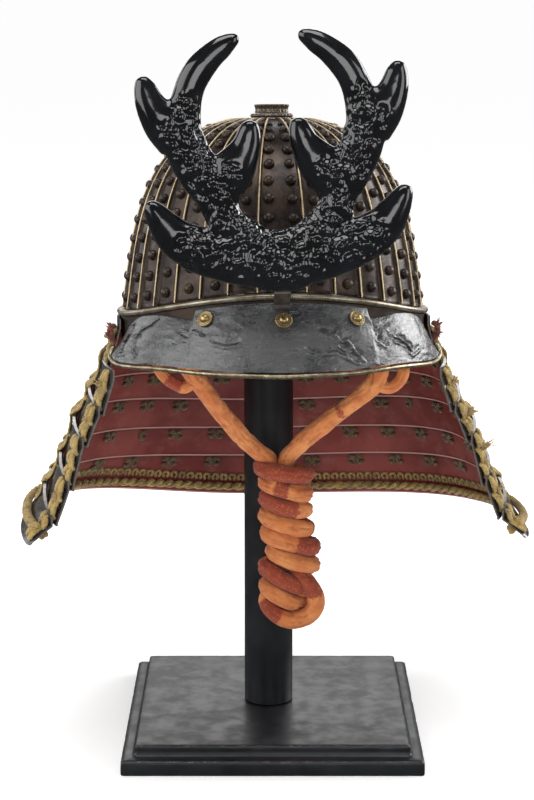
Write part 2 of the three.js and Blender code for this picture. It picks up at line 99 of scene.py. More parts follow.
LAME_WALL = 2.2
LAME_STEP = LAME_WALL + 0.6
LAME_OVERLAP = 7.0
LAME_FRONT = -55.0
FIRST_LAME_FRONT = -20.0
SIDE_SHARE = 0.55
GUARD_TOP = dict(wide=115.0, long=124.0, back=-9.0, side=-9.0, front=-9.0)
LAMES = [
    dict(wide=127.0, long=133.0, back=-40.0, side=-38.0, front=-44.0),
    dict(wide=138.0, long=140.0, back=-64.0, side=-58.0, front=-71.0),
    dict(wide=150.0, long=148.0, back=-88.0, side=-80.0, front=-94.0),
    dict(wide=161.0, long=155.0, back=-113.0, side=-106.0, front=-127.0),
    dict(wide=173.5, long=162.0, back=-138.0, side=-130.0, front=-153.0),
    dict(wide=194.0, long=172.0, back=-173.0, side=-156.0, right_side=-166.0, front=-167.0),
]
HEM_RADIUS = 3.0
HEM_RISE = 8.0

CORD_RADIUS = 6.5
LOOP_RADIUS = 4.5
CORD_LEFT = [
    (-68, -93, 323), (-65, -89, 314), (-59, -82, 302), (-50, -73, 288), (-40, -64, 272),
    (-30, -55, 257), (-19, -47, 243), (-9, -41.5, 233), (-3.5, -39.5, 228.5),
]
CORD_RIGHT = [
    (79, -78, 323), (80, -80, 311), (76, -79, 296), (62, -71, 281), (46, -62, 267),
    (31, -53, 252), (20, -45, 240), (13.5, -41, 232.5), (11, -39.5, 228.5),
]
LOOP_LEFT = [(-85, -73, 319), (-84, -79, 307), (-77, -81, 299), (-71.5, -80, 295), (-66, -79, 292.5)]
LOOP_RIGHT = [(90, -69, 319), (97, -75, 307), (95.5, -76.5, 298.5), (91, -76.5, 294), (86.5, -77, 292)]

STAND_WIDTH = 230.0
STAND_HEIGHT = 20.4
STAND_STEP = 10.3            # how far the upper step stands in from the edge
POST_RADIUS = 19.2
POST_X = -3.0


# ---------------------------------------------------------------- helpers
def helmet_to_row(points):
    """Points of the helmet's frame, in the row frame, all in mm."""
    return np.asarray(points, float) @ HELMET_MATRIX.T + HELMET_AT


def helmet_direction(vectors):
    return np.asarray(vectors, float) @ HELMET_MATRIX.T


def unit(vectors):
    vectors = np.asarray(vectors, float)
    return vectors / np.maximum(np.linalg.norm(vectors, axis=-1, keepdims=True), 1e-9)


def smooth_step(low, high, value):
    share = np.clip((np.asarray(value, float) - low) / (high - low), 0, 1)
    return share * share * (3 - 2 * share)


def grid_faces(rows, columns, wrap=False, start=0, flip=False):
    """Quads of a grid of points laid out row by row."""
    row, column = np.meshgrid(np.arange(rows - 1), np.arange(columns if wrap else columns - 1), indexing="ij")
    beside = (column + 1) % columns
    quads = np.stack([row * columns + column, row * columns + beside,
                      (row + 1) * columns + beside, (row + 1) * columns + column], axis=-1)
    quads = quads.reshape(-1, 4) + start
    return [tuple(quad) for quad in (quads[:, ::-1] if flip else quads).tolist()]


def tube_faces(rows, sides):
    """Quads round rows of points, and a face over each end."""
    end = rows * sides
    return [*grid_faces(rows, sides, wrap=True), tuple(range(sides))[::-1], tuple(range(end - sides, end))]


class Shape:
    """A mesh being put together from parts, with material numbers and named vertex values."""

    def __init__(self):
        self.points, self.faces, self.kinds, self.values, self.uvs = [], [], [], {}, []
        self.count = 0

    def add(self, points, faces, uv=None, **values):
        """A part with its own points. Its faces number them from 0, and have the first material."""
        points = np.asarray(points, float).reshape(-1, 3)
        self.points.append(points)
        self.add_faces([[i + self.count for i in face] for face in faces])
        for name in set(self.values) | set(values):
            old = self.values.setdefault(name, [np.zeros(self.count)])
            new = values.get(name, 0.0)
            old.append(np.broadcast_to(np.asarray(new, float).ravel(), len(points)).copy())
        self.uvs.append(np.zeros((len(points), 2)) if uv is None else np.asarray(uv, float).reshape(-1, 2))
        self.count += len(points)

    def add_faces(self, faces, kind=0):
        """Faces between points of the whole shape, with a material's number."""
        self.faces += [tuple(face) for face in faces]
        self.kinds += [kind] * len(faces)

    def build(self, name, materials, replaces=(), sharp=None):
        mesh = bpy.data.meshes.new(name)
        points = np.concatenate(self.points) * MM
        mesh.from_pydata(points.tolist(), [], self.faces)
        for material in materials:
            mesh.materials.append(material)
        mesh.polygons.foreach_set("material_index", np.array(self.kinds, np.int32))
        mesh.polygons.foreach_set("use_smooth", np.full(len(mesh.polygons), True))
        for key, parts in self.values.items():
            layer = mesh.attributes.new(key, "FLOAT", "POINT")
            layer.data.foreach_set("value", np.concatenate(parts).astype(np.float32))
        uv = np.concatenate(self.uvs)
        if uv.any():
            corner = np.empty(len(mesh.loops), np.int32)
            mesh.loops.foreach_get("vertex_index", corner)
            layer = mesh.uv_layers.new(name="along")
            layer.data.foreach_set("uv", uv[corner].astype(np.float32).ravel())
        if sharp is not None:
            mesh.set_sharp_from_angle(angle=math.radians(sharp))
        mesh.validate()
        piece = bpy.data.objects.new(name, mesh)
        bpy.context.scene.collection.objects.link(piece)
        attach(piece, BODY)
        if replaces:
            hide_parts(*replaces)
        return piece


def lengths_along(line):
    """The way to each point of a line from its start."""
    return np.concatenate([[0], np.cumsum(np.linalg.norm(np.diff(line, axis=0), axis=1))])


def resampled(line, spacing):
    lengths = lengths_along(line)
    count = max(2, int(round(lengths[-1] / spacing)) + 1)
    wanted = np.linspace(0, lengths[-1], count)
    return np.stack([np.interp(wanted, lengths, line[:, i]) for i in range(3)], axis=1)


def curve_through(points, spacing):
    """A smooth line through points (Catmull-Rom), resampled to about the given spacing."""
    points = np.asarray(points, float)
    padded = np.vstack([2 * points[0] - points[1], points, 2 * points[-1] - points[-2]])
    dense = []
    for k in range(len(points) - 1):
        a, b, c, d = padded[k:k + 4]
        t = np.linspace(0, 1, 24, endpoint=False)[:, None]
        dense.append(0.5 * (2 * b + (c - a) * t + (2 * a - 5 * b + 4 * c - d) * t**2
                            + (3 * b - a - 3 * c + d) * t**3))
    dense = np.vstack([*dense, points[-1:]])
    return resampled(dense, spacing)


def frames_along(line):
    """Tangent, side and up at each point of a line, turning as little as possible along it."""
    tangent = unit(np.gradient(line, axis=0))
    side = np.cross(tangent[0], (0, 0, 1))
    if np.linalg.norm(side) < 1e-3:
        side = np.cross(tangent[0], (0, 1, 0))
    sides = [unit(side)]
    for t in tangent[1:]:
        sides.append(unit(sides[-1] - t * (sides[-1] @ t)))
    sides = np.array(sides)
    return tangent, sides, np.cross(sides, tangent)


def tube(shape, line, wide, thick=None, sides=10, normals=None, swell=None, **values):
    """A tube along a line. wide and thick are its half-sizes, one number or one for each point.
    normals turn a flat one to lie on a surface. swell(length, turn) gives its radius share at each point."""
    line = np.asarray(line, float)
    tangent, side, up = frames_along(line)
    if normals is not None:
        side = unit(np.cross(tangent, normals))
        up = np.cross(side, tangent)
    wide = np.broadcast_to(wide, len(line))
    thick = wide if thick is None else np.broadcast_to(thick, len(line))
    turn = np.linspace(0, 2 * math.pi, sides, endpoint=False)
    length = lengths_along(line)
    share = np.ones((len(line), sides)) if swell is None else swell(length[:, None], turn[None, :])
    points = (
        line[:, None, :]
        + (wide[:, None] * np.cos(turn) * share)[..., None] * side[:, None, :]
        + (thick[:, None] * np.sin(turn) * share)[..., None] * up[:, None, :]
    )
    uv = np.stack(np.broadcast_arrays(length[:, None], (turn / (2 * math.pi))[None, :]), axis=-1)
    shape.add(points, tube_faces(len(line), sides), uv=uv, **values)


def lathe(shape, profile, at, axis, sides, wobble=None, **values):
    """A turned form: profile is [(radius, height)], standing at a point along an axis, in mm.
    wobble(height, turn) gives its radius share at each point."""
    axis = unit(axis)
    side = unit(np.cross(axis, (0, 0, 1) if abs(axis[2]) < 0.9 else (1, 0, 0)))
    other = np.cross(axis, side)
    turn = np.linspace(0, 2 * math.pi, sides, endpoint=False)
    profile = np.array(profile, float)
    height = profile[:, 1:]
    share = np.ones((1, sides)) if wobble is None else wobble(height, turn[None, :])
    radius = profile[:, :1] * share
    points = (
        np.asarray(at, float)
        + radius[..., None] * (np.cos(turn)[:, None] * side + np.sin(turn)[:, None] * other)
        + height[..., None] * axis
    )
    shape.add(points, tube_faces(len(profile), sides), **values)


# ---------------------------------------------------------------- camera
CAMERA_AT = (-0.00424, -1.55706, 0.59374)
CAMERA_DOWN = 11.88          # degrees below level
CAMERA_LENS = 91.46          # mm, on a 36 mm sensor


def make_camera():
    data = bpy.data.cameras.new("camera")
    data.lens = CAMERA_LENS
    data.sensor_width = 36.0
    data.clip_start = 0.05
    data.clip_end = 50
    camera = bpy.data.objects.new("camera", data)
    camera.location = CAMERA_AT
    camera.rotation_euler = (math.radians(90 - CAMERA_DOWN), 0, 0)
    bpy.context.scene.collection.objects.link(camera)
    bpy.context.scene.camera = camera


make_camera()


# ---------------------------------------------------------------- materials
NOISE_RANGE = (0.3, 0.7)     # what most of a noise texture's values lie between


class Nodes:
    """Short names for making a material's nodes."""

    def __init__(self, name):
        self.material = bpy.data.materials.new(name)
        self.material.use_nodes = True
        self.tree = self.material.node_tree
        self.shader = self.tree.nodes["Principled BSDF"]
        self.coordinates = self.tree.nodes.new("ShaderNodeTexCoord")

    def link(self, value, socket):
        if isinstance(value, (int, float)):
            socket.default_value = value
        elif isinstance(value, tuple):
            is_colour = len(value) == 3 and len(socket.default_value) == 4
            socket.default_value = (*value, 1.0) if is_colour else value
        else:
            self.tree.links.new(value, socket)

    def noise(self, scale, detail=4.0, roughness=0.55, distortion=0.0, stretch=None):
        node = self.tree.nodes.new("ShaderNodeTexNoise")
        node.inputs["Scale"].default_value = scale
        node.inputs["Detail"].default_value = detail
        node.inputs["Roughness"].default_value = roughness
        node.inputs["Distortion"].default_value = distortion
        self.link(self.place(stretch), node.inputs["Vector"])
        return node.outputs["Fac"]

    def cells(self, scale):
        node = self.tree.nodes.new("ShaderNodeTexVoronoi")
        node.inputs["Scale"].default_value = scale
        self.link(self.place(None), node.inputs["Vector"])
        return node.outputs["Distance"]

    def place(self, stretch):
        """Object coordinates in metres, stretched along each axis if asked."""
        if stretch is None:
            return self.coordinates.outputs["Object"]
        node = self.tree.nodes.new("ShaderNodeMapping")
        node.inputs["Scale"].default_value = stretch
        self.link(self.coordinates.outputs["Object"], node.inputs["Vector"])
        return node.outputs["Vector"]

    def uv(self):
        node = self.tree.nodes.new("ShaderNodeSeparateXYZ")
        self.link(self.coordinates.outputs["UV"], node.inputs[0])
        return node.outputs["X"], node.outputs["Y"]

    def value(self, name):
        node = self.tree.nodes.new("ShaderNodeAttribute")
        node.attribute_name = name
        return node.outputs["Fac"]

    def math(self, kind, a, b=0.0, clamp=False):
        node = self.tree.nodes.new("ShaderNodeMath")
        node.operation = kind
        node.use_clamp = clamp
        self.link(a, node.inputs[0])
        self.link(b, node.inputs[1])
        return node.outputs[0]

    def plus(self, a, b):
        return self.math("ADD", a, b)

    def times(self, a, b):
        return self.math("MULTIPLY", a, b)

    def patches(self, low, high, *noise, **more):
        """Noise as a share: 0 where it is under low, 1 where it is over high."""
        return self.spread(self.noise(*noise, **more), low, high)

    def varied(self, low, high, *noise, **more):
        """A value that varies between low and high with noise."""
        return self.spread(self.noise(*noise, **more), *NOISE_RANGE, low, high)

    def worn(self, name, low, high, share, *noise):
        """A vertex value with a share of noise added to it: 0 where that is under low, 1 where it is over high."""
        return self.spread(self.plus(self.value(name), self.times(self.noise(*noise), share)), low, high)

    def spread(self, value, low, high, out_low=0.0, out_high=1.0):
        """value between low and high, as a smooth share between out_low and out_high."""
        node = self.tree.nodes.new("ShaderNodeMapRange")
        node.interpolation_type = "SMOOTHSTEP"
        self.link(value, node.inputs["Value"])
        for key, number in (("From Min", low), ("From Max", high), ("To Min", out_low), ("To Max", out_high)):
            node.inputs[key].default_value = number
        return node.outputs["Result"]

    def mix(self, share, a, b):
        node = self.tree.nodes.new("ShaderNodeMix")
        node.data_type = "RGBA"
        self.link(share, node.inputs["Factor"])
        self.link(a, node.inputs["A"])
        self.link(b, node.inputs["B"])
        return node.outputs["Result"]

    def bump(self, height, distance, strength=1.0, after=None):
        """A bump of a height in shares of a distance in mm."""
        node = self.tree.nodes.new("ShaderNodeBump")
        node.inputs["Distance"].default_value = distance * MM
        node.inputs["Strength"].default_value = strength
        self.link(height, node.inputs["Height"])
        if after is not None:
            self.link(after, node.inputs["Normal"])
        return node.outputs["Normal"]

    def finish(self, color, roughness, normal=None, **constants):
        self.link(color, self.shader.inputs["Base Color"])
        self.link(roughness, self.shader.inputs["Roughness"])
        if normal is not None:
            self.link(normal, self.shader.inputs["Normal"])
        for key, number in constants.items():
            self.link(number, self.shader.inputs[key.replace("_", " ")])
        return self.material


def russet_iron():
    n = Nodes("russet_iron")
    patches = n.patches(0.38, 0.66, 55, 5, 0.6)
    specks = n.patches(0.5, 0.72, 900, 3)
    color = n.mix(patches, (0.019, 0.0135, 0.0115), (0.052, 0.033, 0.024))
    color = n.mix(n.times(specks, 0.5), color, (0.095, 0.06, 0.042))
    rubbed = n.plus(n.times(n.noise(240, 3), 0.4), n.times(n.noise(30, 3), 0.7))
    worn = n.spread(n.plus(n.value("edge"), rubbed), 1.12, 1.5)
    color = n.mix(worn, color, (0.58, 0.45, 0.26))
    roughness = n.varied(0.26, 0.46, 160, 4)
    normal = n.bump(n.noise(1300, 4, 0.6), 0.16, 0.55)
    normal = n.bump(n.noise(210, 4, 0.6), 0.5, 0.35, normal)
    return n.finish(color, roughness, normal, Metallic=0.55)


def bowl_inside():
    n = Nodes("bowl_inside_lacquer")
    color = n.mix(n.patches(0.35, 0.7, 60, 5), (0.035, 0.018, 0.014), (0.075, 0.032, 0.024))
    normal = n.bump(n.noise(400, 4), 0.25, 0.5)
    return n.finish(color, n.varied(0.4, 0.65, 120), normal)


def rim_iron():
    n = Nodes("rim_iron")
    patches = n.patches(0.36, 0.64, 70, 5, 0.6, stretch=(1, 1, 0.5))
    color = n.mix(patches, (0.24, 0.19, 0.13), (0.42, 0.38, 0.30))
    color = n.mix(n.patches(0.6, 0.72, 420, 3), color, (0.07, 0.045, 0.03))
    roughness = n.varied(0.26, 0.46, 260, 4)
    normal = n.bump(n.noise(700, 4), 0.12, 0.5)
    return n.finish(color, roughness, normal, Metallic=0.85)


def dark_iron():
    n = Nodes("dark_iron")
    color = n.mix(n.patches(0.35, 0.7, 90, 5), (0.028, 0.02, 0.017), (0.07, 0.045, 0.032))
    normal = n.bump(n.noise(900, 4), 0.14, 0.5)
    return n.finish(color, n.varied(0.36, 0.6, 180), normal, Metallic=0.6)


def holder_iron():
    n = Nodes("holder_iron")
    color = n.mix(n.patches(0.35, 0.7, 150, 4), (0.10, 0.092, 0.085), (0.2, 0.18, 0.16))
    grain = n.noise(700, 3, stretch=(3, 1, 0.2))
    return n.finish(color, n.spread(grain, 0.3, 0.7, 0.3, 0.5), n.bump(grain, 0.08, 0.4), Metallic=0.85)


def brass(name, bright, dull, dirt=0.5):
    n = Nodes(name)
    patches = n.patches(0.36, 0.66, 190, 5, 0.6)
    color = n.mix(patches, bright, dull)
    low = n.worn("recess", 0.55, 1.05, 0.5, 500, 3)
    color = n.mix(n.times(low, dirt), color, (0.05, 0.034, 0.022))
    roughness = n.varied(0.24, 0.42, 380, 4)
    return n.finish(color, roughness, n.bump(n.noise(1100, 3), 0.07, 0.5), Metallic=0.92)


def visor_lacquer():
    n = Nodes("visor_lacquer")
    broad = n.noise(26, 5, 0.55, 0.6)
    wrinkles = n.noise(150, 5, 0.62, 1.4, stretch=(1, 1, 2.2))
    fine = n.noise(900, 3)
    color = n.mix(n.spread(broad, 0.36, 0.66), (0.016, 0.017, 0.019), (0.055, 0.056, 0.058))
    color = n.mix(n.spread(wrinkles, 0.6, 0.74), color, (0.085, 0.083, 0.08))
    specks = n.patches(0.70, 0.76, 330, 4, 0.7)
    color = n.mix(specks, color, (0.16, 0.065, 0.03))
    chip = n.worn("chip", 0.62, 0.84, 0.5, 420, 4)
    color = n.mix(chip, color, (0.012, 0.011, 0.012))
    color = n.mix(n.spread(n.value("crack"), 0.25, 0.7), color, (0.010, 0.007, 0.005))
    roughness = n.spread(n.plus(n.times(wrinkles, 0.55), n.times(broad, 0.45)),
                         0.34, 0.62, 0.17, 0.42)
    roughness = n.math("ADD", roughness, n.times(chip, 0.4), clamp=True)
    normal = n.bump(broad, 2.4, 0.5)
    normal = n.bump(wrinkles, 0.8, 0.8, normal)
    normal = n.bump(fine, 0.06, 0.4, normal)
    return n.finish(color, roughness, normal, Metallic=0.15, IOR=1.8, Coat_Weight=0.5, Coat_Roughness=0.22)


def crest_lacquer():
    n = Nodes("crest_lacquer")
    color = n.mix(n.patches(0.35, 0.7, 45, 4), (0.0015, 0.0018, 0.0026), (0.005, 0.0055, 0.0075))
    roughness = n.varied(0.07, 0.16, 60, 4)
    normal = n.bump(n.noise(200, 3), 0.12, 0.35)
    return n.finish(color, roughness, normal, IOR=1.6, Coat_Weight=0.4, Coat_Roughness=0.1)


def lame_red():
    n = Nodes("lame_red_lacquer")
    cloud = n.noise(18, 6, 0.62, 0.5)
    color = n.mix(n.spread(cloud, 0.34, 0.66), (0.19, 0.026, 0.020), (0.30, 0.058, 0.046))
    dust = n.patches(0.5, 0.74, 60, 6, 0.65, stretch=(1, 1, 1.6))
    color = n.mix(n.times(dust, 0.35), color, (0.33, 0.15, 0.13))
    stains = n.patches(0.62, 0.76, 33, 5, 0.7)
    color = n.mix(n.times(stains, 0.55), color, (0.07, 0.016, 0.014))
    # Painted shadow: the red inner face is darker where the lame above overlaps it and just under that lame's
    # lower edge.
    color = n.mix(n.times(n.value("upper"), 0.55), color, (0.06, 0.012, 0.011))
    worn = n.worn("edge", 0.72, 1.02, 0.35, 300, 4)
    color = n.mix(worn, color, (0.52, 0.27, 0.24))
    roughness = n.varied(0.3, 0.55, 110, 5)
    normal = n.bump(n.noise(95, 5, 0.6), 0.5, 0.4)
    normal = n.bump(n.noise(1100, 3), 0.07, 0.5, normal)
    return n.finish(color, roughness, normal, Coat_Weight=0.15, Coat_Roughness=0.3)


def lame_black():
    n = Nodes("lame_black_lacquer")
    cloud = n.patches(0.36, 0.68, 30, 5, 0.6)
    color = n.mix(cloud, (0.018, 0.018, 0.021), (0.05, 0.047, 0.047))
    worn = n.worn("edge", 0.82, 1.1, 0.4, 260, 4)
    color = n.mix(worn, color, (0.12, 0.108, 0.10))
    scuffs = n.patches(0.66, 0.74, 420, 4, 0.7, stretch=(1, 1, 0.25))
    color = n.mix(n.times(scuffs, 0.5), color, (0.16, 0.07, 0.045))
    roughness = n.varied(0.14, 0.36, 120, 5)
    normal = n.bump(n.noise(80, 5, 0.6), 0.55, 0.4)
    return n.finish(color, roughness, normal, Metallic=0.2, Coat_Weight=0.4, Coat_Roughness=0.12)


def ochre_silk(name="ochre_silk", light=(0.50, 0.335, 0.085), dark=(0.085, 0.05, 0.015)):
    """Flat braid: two sets of slanting threads that cross, with painted shade between them."""
    n = Nodes(name)
    along, across = n.uv()
    steep = n.times(across, 7.0)
    left = n.math("SINE", n.times(n.plus(n.times(along, 0.62), steep), 6.283))
    right = n.math("SINE", n.times(n.math("SUBTRACT", n.times(along, 0.62), steep), 6.283))
    weave = n.math("MAXIMUM", left, right)
    threads = n.noise(2600, 2)
    # Painted shade: darker between the crossing threads.
    color = n.mix(n.spread(weave, -0.75, 0.55), n.mix(0.5, dark, light), light)
    grime = n.patches(0.5, 0.68, 330, 5, 0.65)
    color = n.mix(n.times(grime, 0.75), color, dark)
    color = n.mix(n.patches(0.42, 0.68, 90, 5, 0.6), color, n.mix(0.55, color, dark))
    color = n.mix(n.times(n.spread(threads, 0.5, 0.7), 0.35), color, (0.68, 0.50, 0.20))
    normal = n.bump(weave, 0.35, 0.8)
    normal = n.bump(threads, 0.12, 0.6, normal)
    return n.finish(color, n.spread(threads, *NOISE_RANGE, 0.62, 0.86), normal,
                    Sheen_Weight=0.3, Sheen_Roughness=0.4)


def silk_fibres(name, light, dark):
    n = Nodes(name)
    color = n.mix(n.patches(0.35, 0.68, 500, 3), dark, light)
    return n.finish(color, n.varied(0.6, 0.85, 900), n.bump(n.noise(2500, 2), 0.05, 0.4),
                    Sheen_Weight=0.3)


def orange_silk():
    """Crepe: fine puckers, painted shade in the creases, and dark patches of tied dye."""
    n = Nodes("orange_silk")
    cloud = n.noise(48, 5, 0.6, 0.3)
    color = n.mix(n.spread(cloud, 0.34, 0.68), (0.50, 0.135, 0.032), (0.66, 0.25, 0.075))
    shade = n.patches(0.5, 0.72, 150, 5, 0.65)
    color = n.mix(n.times(shade, 0.6), color, (0.36, 0.075, 0.022))
    dyed = n.plus(n.value("dye"), n.times(n.math("SUBTRACT", n.noise(210, 5, 0.7), 0.5), 0.9))
    dyed = n.spread(dyed, 0.42, 0.62)
    spotted = n.spread(n.cells(420), 0.10, 0.5)
    red = n.mix(spotted, (0.42, 0.085, 0.03), (0.25, 0.032, 0.013))
    color = n.mix(n.times(dyed, 0.92), color, red)
    crepe = n.noise(1300, 4, 0.6, 0.8)
    creases = n.noise(230, 5, 0.65, 1.6)
    # Painted shade: darker where the silk is pushed in, in its creases.
    color = n.mix(n.times(n.value("crease"), 0.6), color, (0.24, 0.045, 0.015))
    normal = n.bump(creases, 1.1, 0.6)
    normal = n.bump(crepe, 0.5, 0.9, normal)
    return n.finish(color, n.spread(crepe, *NOISE_RANGE, 0.75, 0.95), normal,
                    Sheen_Weight=0.12, Sheen_Roughness=0.5)


def stand_paint():
    n = Nodes("stand_paint")
    color = n.mix(n.patches(0.36, 0.68, 25, 5), (0.007, 0.0078, 0.0095), (0.014, 0.0155, 0.019))
    dust = n.patches(0.66, 0.76, 900, 4, 0.7)
    color = n.mix(n.times(dust, 0.3), color, (0.16, 0.155, 0.15))
    worn = n.worn("edge", 1.27, 1.4, 0.55, 180, 5, 0.7)
    color = n.mix(worn, color, (0.12, 0.11, 0.10))
    roughness = n.varied(0.30, 0.46, 70, 5)
    normal = n.bump(n.noise(420, 4), 0.10, 0.4)
    return n.finish(color, roughness, normal)


RUSSET = russet_iron()
BOWL_INSIDE = bowl_inside()
RIM_IRON = rim_iron()
DARK_IRON = dark_iron()
HOLDER_IRON = holder_iron()
BRASS = brass("aged_brass", (0.56, 0.42, 0.20), (0.36, 0.25, 0.11))
CROWN_BRASS = brass("crown_brass", (0.17, 0.14, 0.11), (0.085, 0.066, 0.052), 0.8)
PALE_BRASS = brass("pale_brass", (0.50, 0.44, 0.30), (0.24, 0.20, 0.12), 0.8)
VISOR_LACQUER = visor_lacquer()
CREST_LACQUER = crest_lacquer()
LAME_RED = lame_red()
LAME_BLACK = lame_black()
OCHRE = ochre_silk()
# A much darker copy of the ochre braid, for the knots inside the guard: painted shade.
SHADED_OCHRE = ochre_silk("shaded_ochre_silk", (0.135, 0.078, 0.026), (0.04, 0.02, 0.009))
OCHRE_FIBRES = silk_fibres("ochre_fibres", (0.55, 0.38, 0.14), (0.26, 0.16, 0.05))
RED_FIBRES = silk_fibres("red_brown_fibres", (0.27, 0.062, 0.030), (0.10, 0.02, 0.011))
ORANGE = orange_silk()
PAINT = stand_paint()


# ---------------------------------------------------------------- chin cord
def dye_at(line, spots):
    """How strongly each point of a line is dyed: spots are (start mm, end mm) along it."""
    length = lengths_along(line)
    amount = np.zeros(len(line))
    for start, end in spots:
        inside = smooth_step(start - 7, start + 5, length) * (1 - smooth_step(end - 5, end + 7, length))
        amount = np.maximum(amount, inside)
    return amount


CORD_SIDES = 36


def rumple(length, turn, seed):
    """How far a point of the puffed silk stands out or in, as a share of the cord's radius."""
    across = Vector((0, math.cos(turn), math.sin(turn)))
    swell = noise.noise(across * 0.8 + Vector((length / 17, seed, 0)))
    fold = noise.noise(across * 1.7 + Vector((length / 21, seed + 9.3, 2.0)))
    crease = noise.noise(across * 3.1 + Vector((length / 12, seed + 4.1, 5.0)))
    wrinkle = noise.noise(across * 4.5 + Vector((length / 5, seed + 1.7, 8.0)))
    grooves = 0.17 * max(0.0, 1 - abs(fold) * 6) + 0.05 * max(0.0, 1 - abs(crease) * 6)
    return 0.16 * swell - grooves + 0.03 * wrinkle


def cord_piece(name, line, radius, spots, replaces=()):
    line = resampled(np.asarray(line, float), 1.5)
    seed = float(len(name))

    def puff(length, turn):
        return np.array([[1.06 + rumple(at, angle, seed) for angle in turn.ravel()] for at in length.ravel()])

    length = lengths_along(line)
    ends = np.minimum(length, length[-1] - length)
    taper = 0.55 + 0.45 * smooth_step(0, 5, ends)
    dye = np.repeat(dye_at(line, spots), CORD_SIDES)
    turns = np.linspace(0, 2 * math.pi, CORD_SIDES, endpoint=False)
    # crease is how far in the silk is pushed here; the material paints shade there.
    crease = smooth_step(0.98, 0.78, puff(length, turns))
    shape = Shape()
    tube(shape, line, radius * taper, sides=CORD_SIDES, swell=puff, dye=dye, crease=crease)
    piece = shape.build(name, [ORANGE], replaces)
    return piece, line * MM


# The windings round the doubled cord, from the lowest up: (x, z) where each starts on the right and ends
# on the left.
WINDINGS = [
    ((19.5, 113.5), (-4.0, 127.0)), ((26.0, 125.0), (-5.0, 142.0)), ((31.0, 144.5), (0.5, 155.5)),
    ((31.0, 159.0), (-3.5, 169.5)), ((26.0, 173.5), (-5.0, 183.5)), ((24.5, 188.0), (-5.0, 197.5)),
    ((25.0, 201.5), (-5.0, 210.5)), ((26.5, 216.0), (-8.5, 222.0)),
]
WINDING_Y = -39.4
WINDING_DEEP = 11.4
HALF_TURN = 9           # points on each half turn
CORD_SPACING = 2.4      # mm between the points of a cord's middle line
# The turned-up end under the windings.
BIGHT = [(20, -44, 140), (27, -51, 133), (33, -53, 124), (33.5, -53, 114), (27, -52, 106), (15, -51, 102.5),
         (3, -48, 107), (-4, -42, 113), (-2, -33, 117), (8, -28.5, 117), (19, -31, 115), (24.5, -41, 113)]


# Dyed stretches of the windings' fronts: (winding, from, to), as shares of the way from right to left.
DYED_FRONTS = [(7, -0.1, 1.1), (5, 0.28, 1.0), (3, -0.1, 0.34), (1, 0.22, 0.95), (4, -0.1, 0.05),
               (6, 0.45, 0.62)]


def winding_points():
    """Over the front from right to left, rising, and back behind from left to right, turn after turn."""
    points = []
    for k, (right, left) in enumerate(WINDINGS):
        following = WINDINGS[k + 1][0] if k + 1 < len(WINDINGS) else (right[0] - 4, left[1] + 1.0)
        for start, end, front in ((right, left, -1), (left, following, 1)):
            for turn in np.arange(HALF_TURN) * math.pi / HALF_TURN:
                share = 0.5 - 0.5 * math.cos(turn)
                x = start[0] + (end[0] - start[0]) * share
                z = start[1] + (end[1] - start[1]) * share
                points.append((x, WINDING_Y + front * WINDING_DEEP * math.sin(turn), z))
    return points[: -HALF_TURN // 2]


def cord_loop(side, route, tucked, spot):
    """A small loop at the upper end, whose last points are tucked behind the cord."""
    line = curve_through([*route, *tucked], 2.0)
    return cord_piece(f"chin_cord_loop_{side}", line, LOOP_RADIUS, [spot], [f"cord_loop_{side}"])[0]


def chin_cord():
    """The long piece comes from the left, turns up and winds round itself. The short one is the right side."""
    core = [(-1.0, -39.2, 219), (2.5, -38.5, 205), (5.5, -38.2, 180), (9, -38.5, 160)]
    windings = winding_points()
    line = curve_through([*CORD_LEFT, *core, *BIGHT, *windings], CORD_SPACING)
    length = lengths_along(line)

    def length_at(place):
        return length[np.argmin(np.linalg.norm(line - np.array(place), axis=1))]

    spots = [(length_at(BIGHT[0]) - 4, length_at(BIGHT[2])), (length_at(BIGHT[6]) - 3, length_at(BIGHT[7]))]
    for winding, start, end in DYED_FRONTS:
        right = length_at(windings[2 * HALF_TURN * winding])
        left = length_at(windings[2 * HALF_TURN * winding + HALF_TURN])
        spots.append((right + start * (left - right), right + end * (left - right)))
    loop = cord_loop("left", LOOP_LEFT, [(-61, -80, 295), (-57, -79, 298)], (24, 34))
    piece, path = cord_piece("chin_cord_long", line, CORD_RADIUS, spots, ["chin_cord_left", "chin_cord_hank"])

    core_right = [(9, -39.0, 219), (10.5, -38.5, 205), (12.5, -38.2, 180), (15, -38.5, 160)]
    line = curve_through([*CORD_RIGHT, *core_right], CORD_SPACING)
    loop = cord_loop("right", LOOP_RIGHT, [(81, -78.5, 293.5), (76.5, -79, 297)], (0, 16))
    piece, path = cord_piece("chin_cord_short", line, CORD_RADIUS, [(62, 65)], ["chin_cord_right"])
    length = round(float(lengths_along(path)[-1]), 2)


chin_cord()


# ---------------------------------------------------------------- bowl
def arch(angle):
    away = np.abs((np.asarray(angle, float) + 180) % 360 - 180)
    rise = FRONT_ARCH * np.cos(np.radians(away * 90 / ARCH_HALF_ANGLE)) ** 2
    return np.where(away >= ARCH_HALF_ANGLE, 0.0, rise)


def plan(angle, wide, long, z):
    turn = np.radians(angle)
    return np.stack(np.broadcast_arrays(wide * np.sin(turn), -long * np.cos(turn), z), axis=-1)


def bezier(a, b, c, d, t):
    t = np.asarray(t, float)[:, None]
    a, b, c, d = (np.array(p, float) for p in (a, b, c, d))
    return a * (1 - t) ** 3 + 3 * b * t * (1 - t) ** 2 + 3 * c * t**2 * (1 - t) + d * t**3


MERIDIAN = bezier((BOWL_WIDE, 0), (BOWL_WIDE - 10, 69), (101, BOWL_HIGH - 5), (12, BOWL_HIGH),
                  np.linspace(0, 1, 800))
MERIDIAN_LENGTH = lengths_along(MERIDIAN)
MERIDIAN_SLOPE = unit(np.gradient(MERIDIAN, axis=0))


